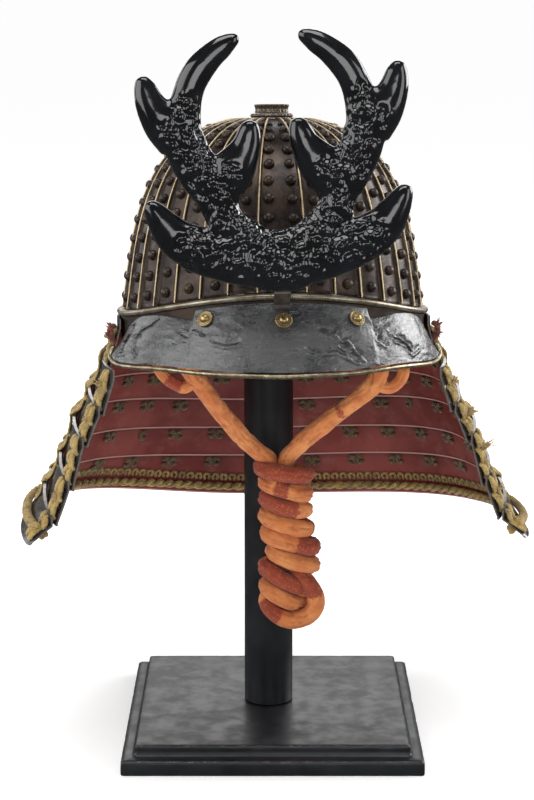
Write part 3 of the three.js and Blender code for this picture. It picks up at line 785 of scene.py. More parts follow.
def meridian(length):
    """Radius, height and outward direction (radial, vertical) at a length up the bowl's side."""
    radius, z = (np.interp(length, MERIDIAN_LENGTH, MERIDIAN[:, i]) for i in (0, 1))
    slope = [np.interp(length, MERIDIAN_LENGTH, MERIDIAN_SLOPE[:, i]) for i in (0, 1)]
    return radius, z, slope[1], -slope[0]


def bowl_point(angle, length, out):
    """A point of the bowl's surface, stood out from it along the side's own outward direction."""
    radius, z, radial, vertical = meridian(length)
    stood = radius + out * radial
    return plan(angle, stood, stood * LONG_PER_WIDE, z + out * vertical)


def bowl_foot(angle):
    """Length up the side where the plates start, above the flange."""
    return np.interp(arch(angle) + FLANGE_HEIGHT + 0.9, MERIDIAN[:, 1], MERIDIAN_LENGTH)


PLATE_TURN = (360 - FRONT_PLATE) / (RIBS - 1)      # degrees from one rib to the next
RIB_ANGLES = FRONT_PLATE / 2 + np.arange(RIBS) * PLATE_TURN
BOWL_END = MERIDIAN_LENGTH[-1]
RIB_REACH = 1.35             # half the width of a rib's foot
# A rib across: (mm beside its middle, share of its height, how bare its metal is).
RIB_SECTION = [(-RIB_REACH, 0.0, 0.0), (-0.72, 0.16, 0.0), (-0.62, 0.86, 0.75), (-0.3, 1.05, 1.0),
               (0.3, 1.05, 1.0), (0.62, 0.86, 0.75), (0.72, 0.16, 0.0), (RIB_REACH, 0.0, 0.0)]
PLATE_COLUMNS = 6            # columns of points on each plate, between two ribs
PLATE_SWELL = 0.35           # mm that the middle of a plate stands out
BOWL_ROWS = 84
BOWL_INNER_ROWS = 14


def bowl_columns():
    """(rib number, mm beside it, height share, bareness, share of the way to the next rib) of each column."""
    columns = []
    for k in range(RIBS):
        columns += [(k, beside, rise, edge, None) for beside, rise, edge in RIB_SECTION]
        columns += [(k, None, 0.0, 0.0, share) for share in np.linspace(0, 1, PLATE_COLUMNS + 2)[1:-1]]
    return columns


def bowl():
    columns = bowl_columns()
    size = len(columns)
    levels = np.linspace(0, 1, BOWL_ROWS) ** 0.94
    fade = np.minimum(1, (1 - levels) * 9 + 0.12)
    angles = np.empty((BOWL_ROWS, size))
    rises = np.empty_like(angles)
    edges = np.empty_like(angles)
    for c, (k, beside, rise, edge, share) in enumerate(columns):
        here = RIB_ANGLES[k]
        following = RIB_ANGLES[k + 1] if k + 1 < RIBS else RIB_ANGLES[0] + 360
        foot = bowl_foot(here)
        radius = meridian(foot + (BOWL_END - foot) * levels)[0]
        narrower = np.minimum(1.0, 0.36 * radius * math.radians(360 / RIBS) / RIB_REACH)
        if share is None:
            angles[:, c] = here + np.degrees(beside * narrower / radius)
            rises[:, c] = RIB_HEIGHT * rise * fade
        else:
            inset = np.degrees(RIB_REACH * narrower / radius)
            angles[:, c] = here + inset + (following - here - 2 * inset) * share
            rises[:, c] = PLATE_SWELL * math.sin(math.pi * share)
        edges[:, c] = edge
    feet = bowl_foot(angles[0])

    def skin(rows, turns, out):
        lengths = feet + (BOWL_END - feet) * rows[:, None]
        return bowl_point(np.broadcast_to(turns, lengths.shape), lengths, out).reshape(-1, 3)

    outer = skin(levels, angles, rises)
    inner = skin(np.linspace(0, 1, BOWL_INNER_ROWS), angles[0], -BOWL_WALL)
    start = len(outer)
    end = start + len(inner)
    outside = [*grid_faces(BOWL_ROWS, size, wrap=True), tuple(range(start - size, start))]
    lip = [(start + (i + 1) % size, start + i, i, (i + 1) % size) for i in range(size)]
    inside = grid_faces(BOWL_INNER_ROWS, size, wrap=True, start=start, flip=True)
    inside.append(tuple(range(end - size, end))[::-1])
    shape = Shape()
    shape.add(helmet_to_row(np.concatenate([outer, inner])), outside + lip,
              edge=np.concatenate([edges.ravel(), np.zeros(len(inner))]))
    shape.add_faces(inside, 1)
    shape.build("bowl_plates", [RUSSET, BOWL_INSIDE], ["bowl"])


def bowl_normal(angle, length):
    across = bowl_point(angle + 0.2, length, 0) - bowl_point(angle - 0.2, length, 0)
    up = bowl_point(angle, length + 0.5, 0) - bowl_point(angle, length - 0.5, 0)
    return unit(np.cross(across, up))


# (radius, height) of a rivet's head, in shares of its radius.
RIVET_DOME = [(1.0, 0.0), (1.04, 0.12), (1.0, 0.34), (0.9, 0.56), (0.72, 0.74), (0.48, 0.87), (0.22, 0.94),
              (0.05, 0.95)]
RIVET_ROWS = 14
RIVET_SPACING = 15.4
RIVET_FOOT = 8.5             # from the plates' lower edge to the lowest rivet
RIVET_RADIUS = 3.75
LEAST_RIVET = 1.15


def bowl_rivets():
    """One column of rivets down the middle of each plate, and two down the front one."""
    shape = Shape()
    rng = random.Random(5)
    columns = [(angle + PLATE_TURN / 2, None) for angle in RIB_ANGLES[:-1]] + [(0.0, -1), (0.0, 1)]
    for middle, side in columns:
        for row in range(RIVET_ROWS):
            angle = middle
            length = float(bowl_foot(angle)) + RIVET_FOOT + RIVET_SPACING * row * (1 - 0.010 * row)
            radius = float(meridian(length)[0])
            if side is None:
                room = width = radius * math.radians(PLATE_TURN)
            else:
                width = radius * math.radians(FRONT_PLATE)
                room = width / 2
                angle = side * math.degrees(min(9.8, 0.285 * width) / radius)
            size = min(RIVET_RADIUS, (room - 2.9) / 2)
            if size < LEAST_RIVET or length > BOWL_END - 4:
                continue
            size *= rng.uniform(0.95, 1.04)
            angle += math.degrees(rng.uniform(-0.35, 0.35) / radius)
            length += rng.uniform(-0.4, 0.4)
            axis = unit(bowl_normal(angle, length) + np.array([rng.uniform(-0.05, 0.05) for _ in range(3)]))
            profile = [(r * size, h * size * 1.12 - 0.15) for r, h in RIVET_DOME]
            at = helmet_to_row(bowl_point(angle, length, 0.2))
            lathe(shape, profile, at, helmet_direction(axis), 14, edge=0.0)
    shape.build("bowl_rivets", [RUSSET])


def hoop(name, section, material, replaces, sides=256):
    """A ring round the bowl's lower edge. section is [(out mm, height mm, share of the arch)]."""
    angles = np.linspace(0, 360, sides, endpoint=False)
    points = np.stack([plan(angles, BOWL_WIDE + out, BOWL_LONG + out, arch(angles) * share + z)
                       for out, z, share in section[::-1]], axis=1)
    size = len(section)
    last = (sides - 1) * size
    closing = [(last + j, last + (j + 1) % size, (j + 1) % size, j) for j in range(size)]
    shape = Shape()
    shape.add(helmet_to_row(points), grid_faces(sides, size, wrap=True) + closing)
    shape.build(name, [material], replaces, sharp=50)


def bowl_rim():
    half = FLANGE_HEIGHT / 2
    nose = [(FLANGE_OUT - half + half * math.cos(t), half + half * 0.98 * math.sin(t), 1)
            for t in np.linspace(-math.pi / 2, math.pi / 2, 11)]
    flange = [(-3, 0.02, 1), *nose, (2.2, 3.95, 1), (1.4, 4.35, 1), (-1.0, 4.4, 1), (-3, 3.9, 1)]
    hoop("bowl_flange_rounded", flange, RIM_IRON, ["bowl_flange"])
    band = [(0, -BAND_DEPTH, BAND_ARCH_SHARE), (1.3, -BAND_DEPTH - 0.3, BAND_ARCH_SHARE),
            (BAND_WALL, -BAND_DEPTH, BAND_ARCH_SHARE), (BAND_WALL, -14, 0.66), (BAND_WALL, -0.6, 1),
            (BAND_WALL - 0.4, -0.35, 1), (0.2, -0.35, 1), (0, -0.7, 1), (0, -14, 0.66)]
    hoop("rim_band_lacquered", band, DARK_IRON, ["rim_band"])


BEADS = 26
BEAD_SIDES = 208
DRUM_RISE = 3.8              # from the beaded ring's foot to the drum's
DRUM_FLUTES = 20
DRUM_SIDES = 240
# (radius, height, how deep it lies in dirt) of the drum.
DRUM_PROFILE = [(12.5, 0.0, 0.7), (12.9, 0.5, 0.3), (12.6, 1.1, 0.6), (12.4, 1.6, 0.5), (12.5, 3.4, 0.2),
                (12.9, 4.8, 0.1), (13.2, 5.5, 0), (13.25, 6.1, 0), (12.8, 6.45, 0), (11.6, 6.5, 0.1),
                (10.4, 6.45, 0.1), (9.2, 6.2, 0.2), (9.0, 5.6, 0.6), (9.0, 0.6, 0.9), (6, 0.4, 1),
                (2, 0.4, 1)]


def crown():
    up = helmet_direction((0, 0, 1))

    def beaded(height, turn):
        return 0.98 + 0 * height + 0.045 * np.abs(np.cos(BEADS * turn / 2))

    ring = [(2, 0.1), (14.6, 0.1), (15.6, 0.7), (16.1, 1.6), (15.9, 2.6), (15.0, 3.3), (13.8, 3.45), (2, 3.4)]
    shape = Shape()
    lathe(shape, ring, helmet_to_row((0, 0, CROWN_FOOT)), up, BEAD_SIDES, beaded, recess=0.25)
    shape.build("crown_beaded_ring", [CROWN_BRASS], ["crown_collar"])

    def fluted(height, turn):
        deep = np.where(height > 5.6, 0.5, 1.0)
        return 1 + 0.055 * deep * (np.abs(np.sin(DRUM_FLUTES * turn / 2)) - 0.65)

    outside = [(radius, height) for radius, height, _ in DRUM_PROFILE]
    recess = np.repeat([dirt for _, _, dirt in DRUM_PROFILE], DRUM_SIDES)
    shape = Shape()
    at = helmet_to_row((0, 0, CROWN_FOOT + DRUM_RISE))
    lathe(shape, outside, at, up, DRUM_SIDES, fluted, recess=recess)
    shape.build("crown_fluted_drum", [CROWN_BRASS], ["crown_drum"], sharp=60)


bowl()
bowl_rivets()
bowl_rim()
crown()


# ---------------------------------------------------------------- visor
def visor_edges(angle):
    """Heights of the visor's upper and lower edge."""
    return [np.interp(np.abs(angle), edge[:, 0], edge[:, 1]) for edge in (VISOR_TOP_EDGE, VISOR_LOW_EDGE)]


def visor_point(angle, down, inset=0.0):
    """A point of the visor. down is the share of the way to its lower edge; inset is mm in from its face."""
    wide, long = (top + (bottom - top) * down for top, bottom in zip(VISOR_TOP, VISOR_BOTTOM))
    swell = VISOR_BULGE * np.sin(np.pi * down) * np.cos(np.radians(angle * 0.9)) - inset
    top, low = visor_edges(angle)
    return plan(angle, wide + swell, long + swell, top + (low - top) * down)


# Cracks in the visor's lacquer: each a list of (degrees from the front, share of the way down).
CRACKS = [
    [(12, 0.40), (15, 0.44), (17, 0.42), (19, 0.54), (21, 0.51), (23, 0.63), (24.5, 0.72), (26.5, 0.84)],
    [(18, 0.62), (20, 0.68), (21, 0.79), (24, 0.88)],
    [(39.5, 0.34), (42, 0.44), (43.5, 0.43), (45.5, 0.56), (47, 0.60), (49.5, 0.78)],
    [(41, 0.52), (45, 0.62), (48.5, 0.84), (53, 0.74)],
    [(-47, 0.10), (-50, 0.22), (-54, 0.32), (-57, 0.50), (-57, 0.66), (-55, 0.80)],
    [(-61, 0.16), (-62, 0.34), (-65, 0.50), (-66, 0.7)],
    [(-36, 0.30), (-33, 0.36), (-30, 0.34), (-27, 0.42)],
    [(-23, 0.55), (-19, 0.60), (-15, 0.57)],
    [(8, 0.66), (12, 0.72), (17, 0.70), (20, 0.78)],
    [(31, 0.18), (34, 0.30), (33, 0.46), (36, 0.58)],
]
# Chipped places: (degrees from the front, share of the way down, half-width in degrees, half-height).
CHIPS = [(43.5, 0.52, 3.0, 0.12), (47.5, 0.68, 2.4, 0.12), (24, 0.74, 2.2, 0.07), (13, 0.40, 1.6, 0.04),
         (20.5, 0.60, 1.5, 0.06), (-27, 0.44, 1.2, 0.04), (-58, 0.42, 1.6, 0.06), (34, 0.40, 1.3, 0.05)]
DEGREE = 2.35           # mm along the visor for each degree
VISOR_DOWN = 46.0       # mm from its top to its lower edge
INNER_STEP = 6          # the inner face has every sixth row of the outer one


def crack_distance(angle, down):
    """Signed distance in mm from the nearest crack, for each point."""
    place = np.stack([angle * DEGREE, down * VISOR_DOWN], axis=-1)
    best = np.full(place.shape[:2], 99.0)
    for crack in CRACKS:
        dots = np.array([(a * DEGREE, d * VISOR_DOWN) for a, d in crack])
        for p, q in zip(dots[:-1], dots[1:]):
            along = q - p
            share = np.clip(((place - p) @ along) / (along @ along), 0, 1)
            offset = place - p - share[..., None] * along
            far = np.linalg.norm(offset, axis=-1)
            side = np.sign(along[0] * offset[..., 1] - along[1] * offset[..., 0])
            best = np.where(far < np.abs(best), far * np.where(side == 0, 1, side), best)
    return best


def visor():
    angles = np.linspace(-VISOR_END, VISOR_END, 421)
    downs = np.linspace(0, 1, 61)
    angle, down = np.meshgrid(angles, downs)

    def waves(across, along, seed):
        return np.array([[noise.noise(Vector((a * across, d * along, seed))) for a in angles] for d in downs])

    wave = waves(0.21, 9, 3.0)
    jitter = waves(0.9, 38, 8.0)
    distance = crack_distance(angle + 0.35 * jitter, down + 0.012 * wave)
    crack = np.exp(-(distance / 0.7) ** 2)
    lifted = np.exp(-((distance - 1.5) / 1.5) ** 2) * (distance > 0)
    lifted -= 0.5 * np.exp(-((distance + 1.8) / 1.6) ** 2)
    chip = np.zeros_like(angle)
    for a, d, wide, high in CHIPS:
        away = np.hypot((angle - a) / wide, (down - d) / high) + 0.35 * jitter
        chip = np.maximum(chip, 1 - smooth_step(0.75, 1.1, away))
    out = 0.5 * wave + 0.2 * jitter + 1.0 * lifted - 0.8 * crack - 0.5 * chip
    out *= smooth_step(0, 0.05, down) * smooth_step(0, 0.04, 1 - down)
    outer = visor_point(angle, down, -out)
    inner_downs = downs[::INNER_STEP]
    inner = visor_point(*np.meshgrid(angles, inner_downs), VISOR_WALL)
    rows, size, inner_rows = len(downs), len(angles), len(inner_downs)
    start, right = rows * size, size - 1
    faces = grid_faces(rows, size, flip=True) + grid_faces(inner_rows, size, start=start)
    for i in range(right):
        faces.append((i, i + 1, start + i + 1, start + i))
        low, under = (rows - 1) * size + i, start + (inner_rows - 1) * size + i
        faces.append((low + 1, low, under, under + 1))
    for k in range(inner_rows - 1):
        ring = [(INNER_STEP * k + j) * size for j in range(INNER_STEP + 1)]
        above, below = start + k * size, start + (k + 1) * size
        faces.append((*ring, below, above))
        faces.append((*[i + right for i in ring[::-1]], above + right, below + right))
    zeros = np.zeros(inner_rows * size)
    shape = Shape()
    shape.add(helmet_to_row(np.concatenate([outer.reshape(-1, 3), inner.reshape(-1, 3)])), faces,
              crack=np.concatenate([crack.ravel(), zeros]), chip=np.concatenate([chip.ravel(), zeros]))
    shape.build("visor_cracked_lacquer", [VISOR_LACQUER], ["visor"], sharp=70)


def visor_rim():
    reach = VISOR_RIM + 1.2      # from the visor's lower edge to the middle of its rim
    angles = np.linspace(-VISOR_END + 2, VISOR_END - 2, 241)
    edge = visor_point(angles, np.ones_like(angles), VISOR_WALL / 2)
    away = unit(edge - visor_point(angles, np.full_like(angles, 0.9), VISOR_WALL / 2))
    low = edge + away * reach
    corner = VISOR_LOW_EDGE[-1, 1]
    ends = [
        [plan(side * (VISOR_END + 1.1), VISOR_BOTTOM[0] + 0.4, VISOR_BOTTOM[1] - 2, corner - 0.5),
         plan(side * (VISOR_END + 2.2), VISOR_BOTTOM[0] - 3, VISOR_BOTTOM[1] - 8, corner + 6)]
        for side in (-1, 1)
    ]
    points = [*ends[0][::-1], *low[::6], *ends[1]]
    line = helmet_to_row(curve_through(points, 1.4))
    phase = np.random.default_rng(3).uniform(0, 6.28, 3)

    def dents(length, turn):
        long_ones = 0.03 * np.sin(length / 9 + phase[0]) * np.cos(turn + phase[1])
        return 1 + long_ones + 0.02 * np.sin(length / 3.7 + phase[2])

    shape = Shape()
    tube(shape, line, VISOR_RIM, sides=14, swell=dents, recess=0.15)
    shape.build("visor_rolled_rim", [PALE_BRASS], ["visor_rim"])


PETALS = 18
ROSETTE_SIDES = 90
# (radius, height, how deep it lies in dirt) of a rosette rivet.
ROSETTE = [(5.7, 0, 0.7), (6.05, 0.35, 0.5), (6.0, 0.8, 0.45), (5.5, 1.15, 0.4), (5.0, 1.05, 0.8),
           (4.7, 0.85, 1), (4.3, 1.05, 0.8), (3.9, 1.3, 0.45), (3.55, 1.1, 0.9), (3.4, 0.95, 1),
           (3.2, 1.3, 0.8), (2.95, 1.9, 0.2), (2.5, 2.5, 0), (1.8, 2.95, 0), (0.9, 3.2, 0), (0.1, 3.25, 0)]


def petalled(height, turn):
    return 1 + np.where((height > 0.1) & (height < 1.25), 0.035 * np.cos(PETALS * turn), 0)


def visor_rivets():
    profile = [(radius, height) for radius, height, _ in ROSETTE]
    recess = np.repeat([dirt for _, _, dirt in ROSETTE], ROSETTE_SIDES)
    for name, angle, height in (("left", -26.5, 5.0), ("centre", 0.0, 5.0), ("right", 25.5, 4.5)):
        top, low = visor_edges(angle)
        down = (height - top) / (low - top)
        across = visor_point(angle + 2, down) - visor_point(angle - 2, down)
        fall = visor_point(angle, down + 0.05) - visor_point(angle, down - 0.05)
        normal = unit(np.cross(across, fall))
        normal = -normal if normal[1] > 0 else normal
        at = helmet_to_row(visor_point(angle, down) + normal * 0.75)
        shape = Shape()
        lathe(shape, profile, at, helmet_direction(normal), ROSETTE_SIDES, petalled, recess=recess)
        shape.build(f"visor_rosette_rivet_{name}", [BRASS], [f"visor_rivet_{name}"])


visor()
visor_rim()
visor_rivets()


# ---------------------------------------------------------------- crest
# The left half's limbs: (x, z, half-width) from the tip to the root.
ANTLER_LIMBS = {
    "main": [(-20, 152.5, 3.2), (-31, 146.3, 7.8), (-40, 140, 9.2), (-48, 132.3, 10.3), (-54.5, 123, 10.5),
             (-58.5, 113, 10.8), (-62, 100, 12.5), (-63, 87, 14.5), (-59, 72, 15.5), (-51, 57, 15.5),
             (-43, 41, 13.5), (-36, 26, 14), (-24, 9, 18.5), (-9, -2, 22), (6, -3, 22.5)],
    "outer": [(-89, 129.5, 3), (-87.5, 123, 7.5), (-83.5, 109, 11.2), (-76, 97, 15), (-66, 84, 16)],
    "inner": [(-16, 95, 3), (-17.2, 88, 8), (-21, 75.5, 11), (-30, 62, 15.5), (-42, 48, 16)],
    "lower": [(-90, 44, 3), (-87.5, 38.5, 7), (-80, 26.5, 11.5), (-71, 16, 14.5), (-55, 7, 17),
              (-35, 2, 19.5), (-18, -1, 20.5)],
}
BLUNT = {"main": 4.0, "outer": 6.5, "inner": 7.5, "lower": 6.5}     # radius of each limb's rounded end
CREST_MOST_DEEP = 9.6        # half the thickness of the thickest limb
# Where the antlers are rough: (x, z, x, z, reach) of stretches down their middles, on the left half.
ROUGH = [(-60, 108, -63, 88, 11), (-63, 88, -51, 57, 16), (-51, 57, -43, 41, 16), (-43, 41, -36, 26, 15),
         (-36, 26, -24, 9, 18), (-24, 9, 0, -4, 22), (-62, 9, -30, 1, 17), (-74, 92, -64, 82, 10),
         (-33, 59, -42, 48, 11)]


def rough_share(x, z):
    """How rough the crest is at each place, from 0 to 1."""
    place = np.stack([-np.abs(x), z], axis=-1)
    best = np.full(len(x), -99.0)
    for ax, az, bx, bz, reach in ROUGH:
        a, b = np.array([ax, az], float), np.array([bx, bz], float)
        share = np.clip(((place - a) @ (b - a)) / ((b - a) @ (b - a)), 0, 1)
        far = np.linalg.norm(place - a - share[:, None] * (b - a), axis=1)
        best = np.maximum(best, reach - far)
    return smooth_step(0, 6, best)


LIMB_SIDES = 24
CREST_VOXEL = 1.15           # mm


def limb_rings(stations, mirror, blunt):
    """Sections of one limb, from its rounded tip to its root."""
    line = curve_through(stations, 1.2)
    tip = stations[0]
    points = []
    turn = np.linspace(0, 2 * math.pi, LIMB_SIDES, endpoint=False)
    tangent = unit(np.gradient(line[:, :2], axis=0))
    for (x, z, half), (tx, tz) in zip(line, tangent):
        from_tip = min(blunt, math.hypot(x - tip[0], z - tip[1]) + 0.05)
        half = max(half, blunt) * math.sqrt(from_tip * (2 * blunt - from_tip)) / blunt
        depth = min(half, 3 + half * 0.4, CREST_MOST_DEEP)
        points.append(np.stack([mirror * (x - tz * half * np.cos(turn)), depth * np.sin(turn),
                                z + tx * half * np.cos(turn)], axis=1))
    return np.array(points)


def joined_limbs():
    """All limbs as one smooth skin: its points, normals and faces."""
    body = bmesh.new()
    for limb, stations in ANTLER_LIMBS.items():
        for mirror in (1, -1):
            rings = limb_rings(stations, mirror, BLUNT[limb])
            corners = [body.verts.new(p) for p in rings.reshape(-1, 3)]
            for face in tube_faces(len(rings), LIMB_SIDES):
                body.faces.new([corners[i] for i in (face if mirror > 0 else face[::-1])])
    bmesh.ops.recalc_face_normals(body, faces=body.faces)
    rough = bpy.data.meshes.new("crest_limbs")
    body.to_mesh(rough)
    body.free()
    limbs = bpy.data.objects.new("crest_limbs", rough)
    bpy.context.scene.collection.objects.link(limbs)
    remesh = limbs.modifiers.new("remesh", "REMESH")
    remesh.mode = "VOXEL"
    remesh.voxel_size = CREST_VOXEL
    smooth = limbs.modifiers.new("smooth", "SMOOTH")
    smooth.iterations = 18
    smooth.factor = 0.6
    whole = bpy.data.meshes.new_from_object(limbs.evaluated_get(bpy.context.evaluated_depsgraph_get()))
    bpy.data.objects.remove(limbs)
    points, normals = np.empty((2, len(whole.vertices) * 3))
    whole.vertices.foreach_get("co", points)
    whole.vertices.foreach_get("normal", normals)
    faces = [tuple(p.vertices) for p in whole.polygons]
    bpy.data.meshes.remove(whole)
    return points.reshape(-1, 3), normals.reshape(-1, 3), faces


def lump(place, share):
    """How far a point stands out, in mm: lumps of two sizes on a broad swell, where the crest is rough."""
    if share <= 0:
        return 0.12 * noise.noise(place * 0.06)
    near = noise.voronoi(place * 0.18)[0][0]
    fine = noise.voronoi(place * 0.34 + Vector((7, 3, 1)))[0][0]
    large = max(0.0, 1 - near * near * 2.2)
    small = max(0.0, 1 - fine * fine * 2.6)
    swell = noise.noise(place * 0.1) + 0.6 * noise.noise(place * 0.27 + Vector((3, 8, 2)))
    return share * (1.9 * large + 0.5 * small - 1.5 + swell)


def crest():
    points, normals, faces = joined_limbs()
    share = rough_share(points[:, 0], points[:, 2])
    lumps = np.array([lump(Vector(p), s) for p, s in zip(points, share)])
    x, y, z = (points + normals * lumps[:, None]).T
    lean = math.radians(CREST_LEAN)
    cos, sin = math.cos(lean), math.sin(lean)
    turned = np.stack([x * cos - z * sin, y, x * sin + z * cos], axis=1)
    shape = Shape()
    shape.add(helmet_to_row(turned + CREST_AT), faces)
    shape.build("crest_antlers", [CREST_LACQUER], ["crest"])


def finish_holder():
    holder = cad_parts["crest_holder"]
    holder.data.materials.clear()
    holder.data.materials.append(HOLDER_IRON)
    bevel = holder.modifiers.new("edges", "BEVEL")
    bevel.width = 0.4 * MM
    bevel.segments = 3
    bevel.limit_method = "ANGLE"


crest()
finish_holder()


# ---------------------------------------------------------------- neck guard
PLAN_POWER = {"front": 2.6, "back": 2.15}      # the guard's plan is squarer towards the front


def guard_point(share, wide, long, z, front):
    """A point round the guard: share runs from 0 at the back to 1 and -1 at the front edges."""
    share, wide, long, z = np.broadcast_arrays(share, wide, long, z)
    turn = share * np.arccos(front / long)
    power = 2 / np.where(np.cos(turn) < 0, PLAN_POWER["front"], PLAN_POWER["back"])
    x = wide * np.sign(np.sin(turn)) * np.abs(np.sin(turn)) ** power
    y = long * np.sign(np.cos(turn)) * np.abs(np.cos(turn)) ** power
    return np.stack([x, y, z], axis=-1)


def lame_edge(lame, share):
    """Height of a lame's lower edge."""
    away = np.abs(share)
    side = np.where(np.asarray(share) > 0, lame.get("right_side", lame["side"]), lame["side"])
    rear = lame["back"] + (side - lame["back"]) * smooth_step(0, SIDE_SHARE, away)
    ahead = side + (lame["front"] - side) * (np.clip(away - SIDE_SHARE, 0, 1) / (1 - SIDE_SHARE)) ** 2
    return np.where(away < SIDE_SHARE, rear, ahead)


def above_of(index):
    return GUARD_TOP if index == 0 else LAMES[index - 1]


def front_of(index):
    return FIRST_LAME_FRONT if index == 0 else LAME_FRONT


def lame_height(index, share):
    """From a lame's lower edge to that of the one above it."""
    return lame_edge(above_of(index), share) - lame_edge(LAMES[index], share)


def lame_point(index, share, up, offset=0.0):
    """A point of a lame. up is mm above its lower edge; offset is mm out from its inner face."""
    own, above = LAMES[index], above_of(index)
    share = np.asarray(share, float)
    low = lame_edge(own, share)
    high = lame_edge(above, share)
    rise = np.clip(np.asarray(up, float) / (high - low), 0, 1)
    wide = own["wide"] + (above["wide"] + LAME_STEP - own["wide"]) * rise + offset
    long = own["long"] + (above["long"] + LAME_STEP - own["long"]) * rise + offset
    return guard_point(share, wide, long, low + up, front_of(index))


def lame_normal(index, share, up):
    across = lame_point(index, share + 0.004, up) - lame_point(index, share - 0.004, up)
    rise = lame_point(index, share, up + 0.5) - lame_point(index, share, up - 0.5)
    out = unit(np.cross(rise, across))
    return out if out[:2] @ lame_point(index, share, up)[:2] > 0 else -out


def share_at(index, distance, up=6.0):
    """The share of the point some mm round the guard from a lame's front edge, on the +X side."""
    shares = np.linspace(1, 0, 400)
    line = lame_point(index, shares, np.full(400, up))
    return float(np.interp(distance, lengths_along(line), shares))


# Rows of points down a lame: mm above the edge of the lame above, share of the way down from that edge,
# or mm above its own lower edge.
LAME_LEVELS = [("up", LAME_OVERLAP), ("up", 5.0), ("up", 0.0), ("down", 0.12), ("down", 0.3), ("down", 0.5),
               ("down", 0.7), ("edge", 5.0), ("edge", 2.2), ("edge", 1.6), ("edge", 1.3), ("edge", 0.8),
               ("edge", 0.25), ("edge", 0.0)]


def lame(index):
    shares = np.unique(np.concatenate([np.linspace(-1, 1, 151), [-0.9985, -0.995, 0.995, 0.9985]]))
    height = lame_height(index, shares)
    at_end = smooth_step(0.995, 0.9985, np.abs(shares))
    worn_thin = 1.25 * smooth_step(0.986, 1.0, np.abs(shares))
    ripple = np.array([noise.noise(Vector((s * 7 + index * 5, index * 3.1, 1))) for s in shares])
    outer, inner, outer_edge, inner_edge, upper = [], [], [], [], []
    for kind, amount in LAME_LEVELS:
        # dark is a painted shadow on the inner face: full where the lame above overlaps it, fading out a little
        # way under that lame's lower edge.
        if kind == "up":
            up, dark = height + amount, 1.0
        elif kind == "down":
            up, dark = height * (1 - amount), max(0.0, 0.5 - amount)
        else:
            up, dark = np.full(len(shares), amount), 0.0
        at_lip = kind == "edge" and amount < 1.5
        lip = 0.55 if at_lip else 0.0
        thin = 0.5 if kind == "edge" and amount < 0.2 else 0.0
        middle = 0.5 * ripple * (4 * (up / height) * (1 - np.clip(up / height, 0, 1)))
        outer.append(lame_point(index, shares, up, LAME_WALL - thin - worn_thin + middle))
        inner.append(lame_point(index, shares, up, -lip + thin + middle))
        outer_edge.append(np.maximum(1.0 if at_lip and amount < 1.0 else 0.0, at_end))
        inner_edge.append(np.maximum(1.0 if at_lip else 0.0, at_end))
        upper.append(np.full(len(shares), dark))
    rows, size = len(LAME_LEVELS), len(shares)
    start, last, right = rows * size, (rows - 1) * size, size - 1
    rim = []
    for i in range(right):
        low = last + i
        rim.append((i + 1, i, start + i, start + i + 1))
        rim.append((low, low + 1, start + low + 1, start + low))
    for left in range(0, last, size):
        below = left + size
        rim.append((left, below, start + below, start + left))
        rim.append((below + right, left + right, start + left + right, start + below + right))
    shape = Shape()
    # upper carries that painted shadow to the red lacquer of the inner face.
    shape.add(helmet_to_row(np.concatenate(outer + inner)), grid_faces(rows, size),
              edge=np.concatenate(outer_edge + inner_edge),
              upper=np.concatenate([np.zeros(start), *upper]))
    shape.add_faces(grid_faces(rows, size, start=start, flip=True), 1)
    shape.add_faces(rim)
    name = f"neck_lame_{index + 1}"
    shape.build(f"{name}_lacquered", [LAME_BLACK, LAME_RED], [name], sharp=50)


for number in range(len(LAMES)):
    lame(number)


# ---------------------------------------------------------------- lacing
LACE_COLUMNS = 15         # pairs of braids round the guard
LACE_REACH = 0.8          # the share where the outermost pair would stand
FRONT_CLEAR = 26.0        # mm that the pairs keep from a lame's front edge
BRAID_WIDE = 4.1          # half the width of a flat braid
BRAID_THICK = 1.15


def column_shares(index):
    """Where the pairs of braids stand on a lame. They fan out and stop short of the front edges."""
    half = (LACE_COLUMNS - 1) // 2
    shares = [k * LACE_REACH / half for k in range(-half, half + 1)]
    return [share for share in shares if abs(share) < share_at(index, FRONT_CLEAR)]


def sideways(index, share, distance, up):
    """The share that lies some mm beside another on a lame."""
    step = 0.003
    reach = np.linalg.norm(lame_point(index, share + step, up) - lame_point(index, share - step, up))
    return share + distance * 2 * step / reach


def braid(shape, line, normal, wide=BRAID_WIDE, thick=BRAID_THICK, sides=10, bead=4.2, leaf=0.0):
    """A flat braid along a line on the helmet, with the small steps that its crossing strands make.
    leaf is how much narrower its two ends are."""
    fine = curve_through(helmet_to_row(line), 1.0)

    def steps(length, turn):
        return 1 + 0.10 * np.sin(2 * math.pi * length / bead + np.cos(turn) * 2.2)

    slim = 1 - leaf * (1 - np.sin(np.linspace(0.06, math.pi - 0.06, len(fine))) ** 0.75)
    tube(shape, fine, wide * slim, thick * slim, sides, normals=helmet_direction(normal), swell=steps)


def inner_knots():
    """Inside, each pair of braids shows as two short bent stitches just under the edge of the lame above."""
    shape = Shape()
    rng = random.Random(21)
    places = [(index, share, side) for index in range(1, len(LAMES)) for share in column_shares(index)
              for side in (-1, 1)]
    for index, share, side in places:
        if rng.random() < 0.03:
            continue
        height = float(lame_height(index, share))
        middle = height - 5.6 + rng.uniform(-0.5, 0.5)
        half_high = 3.0 + rng.uniform(-0.3, 0.4)
        line = []
        for turn in np.linspace(0, 1.8 * math.pi, 11) + 0.3:
            beside = side * (3.5 + 2.1 * math.cos(turn))
            up = middle + half_high * math.sin(turn)
            out = -0.9 - 0.3 * math.cos(turn)
            line.append(lame_point(index, sideways(index, share, beside, up), up, out))
        braid(shape, line, lame_normal(index, share, height * 0.7), 1.75, 1.2, 8, 3.0)
    # The knots inside take the darker copy of the ochre braid, a painted shade.
    shape.build("lacing_inside", [SHADED_OCHRE])


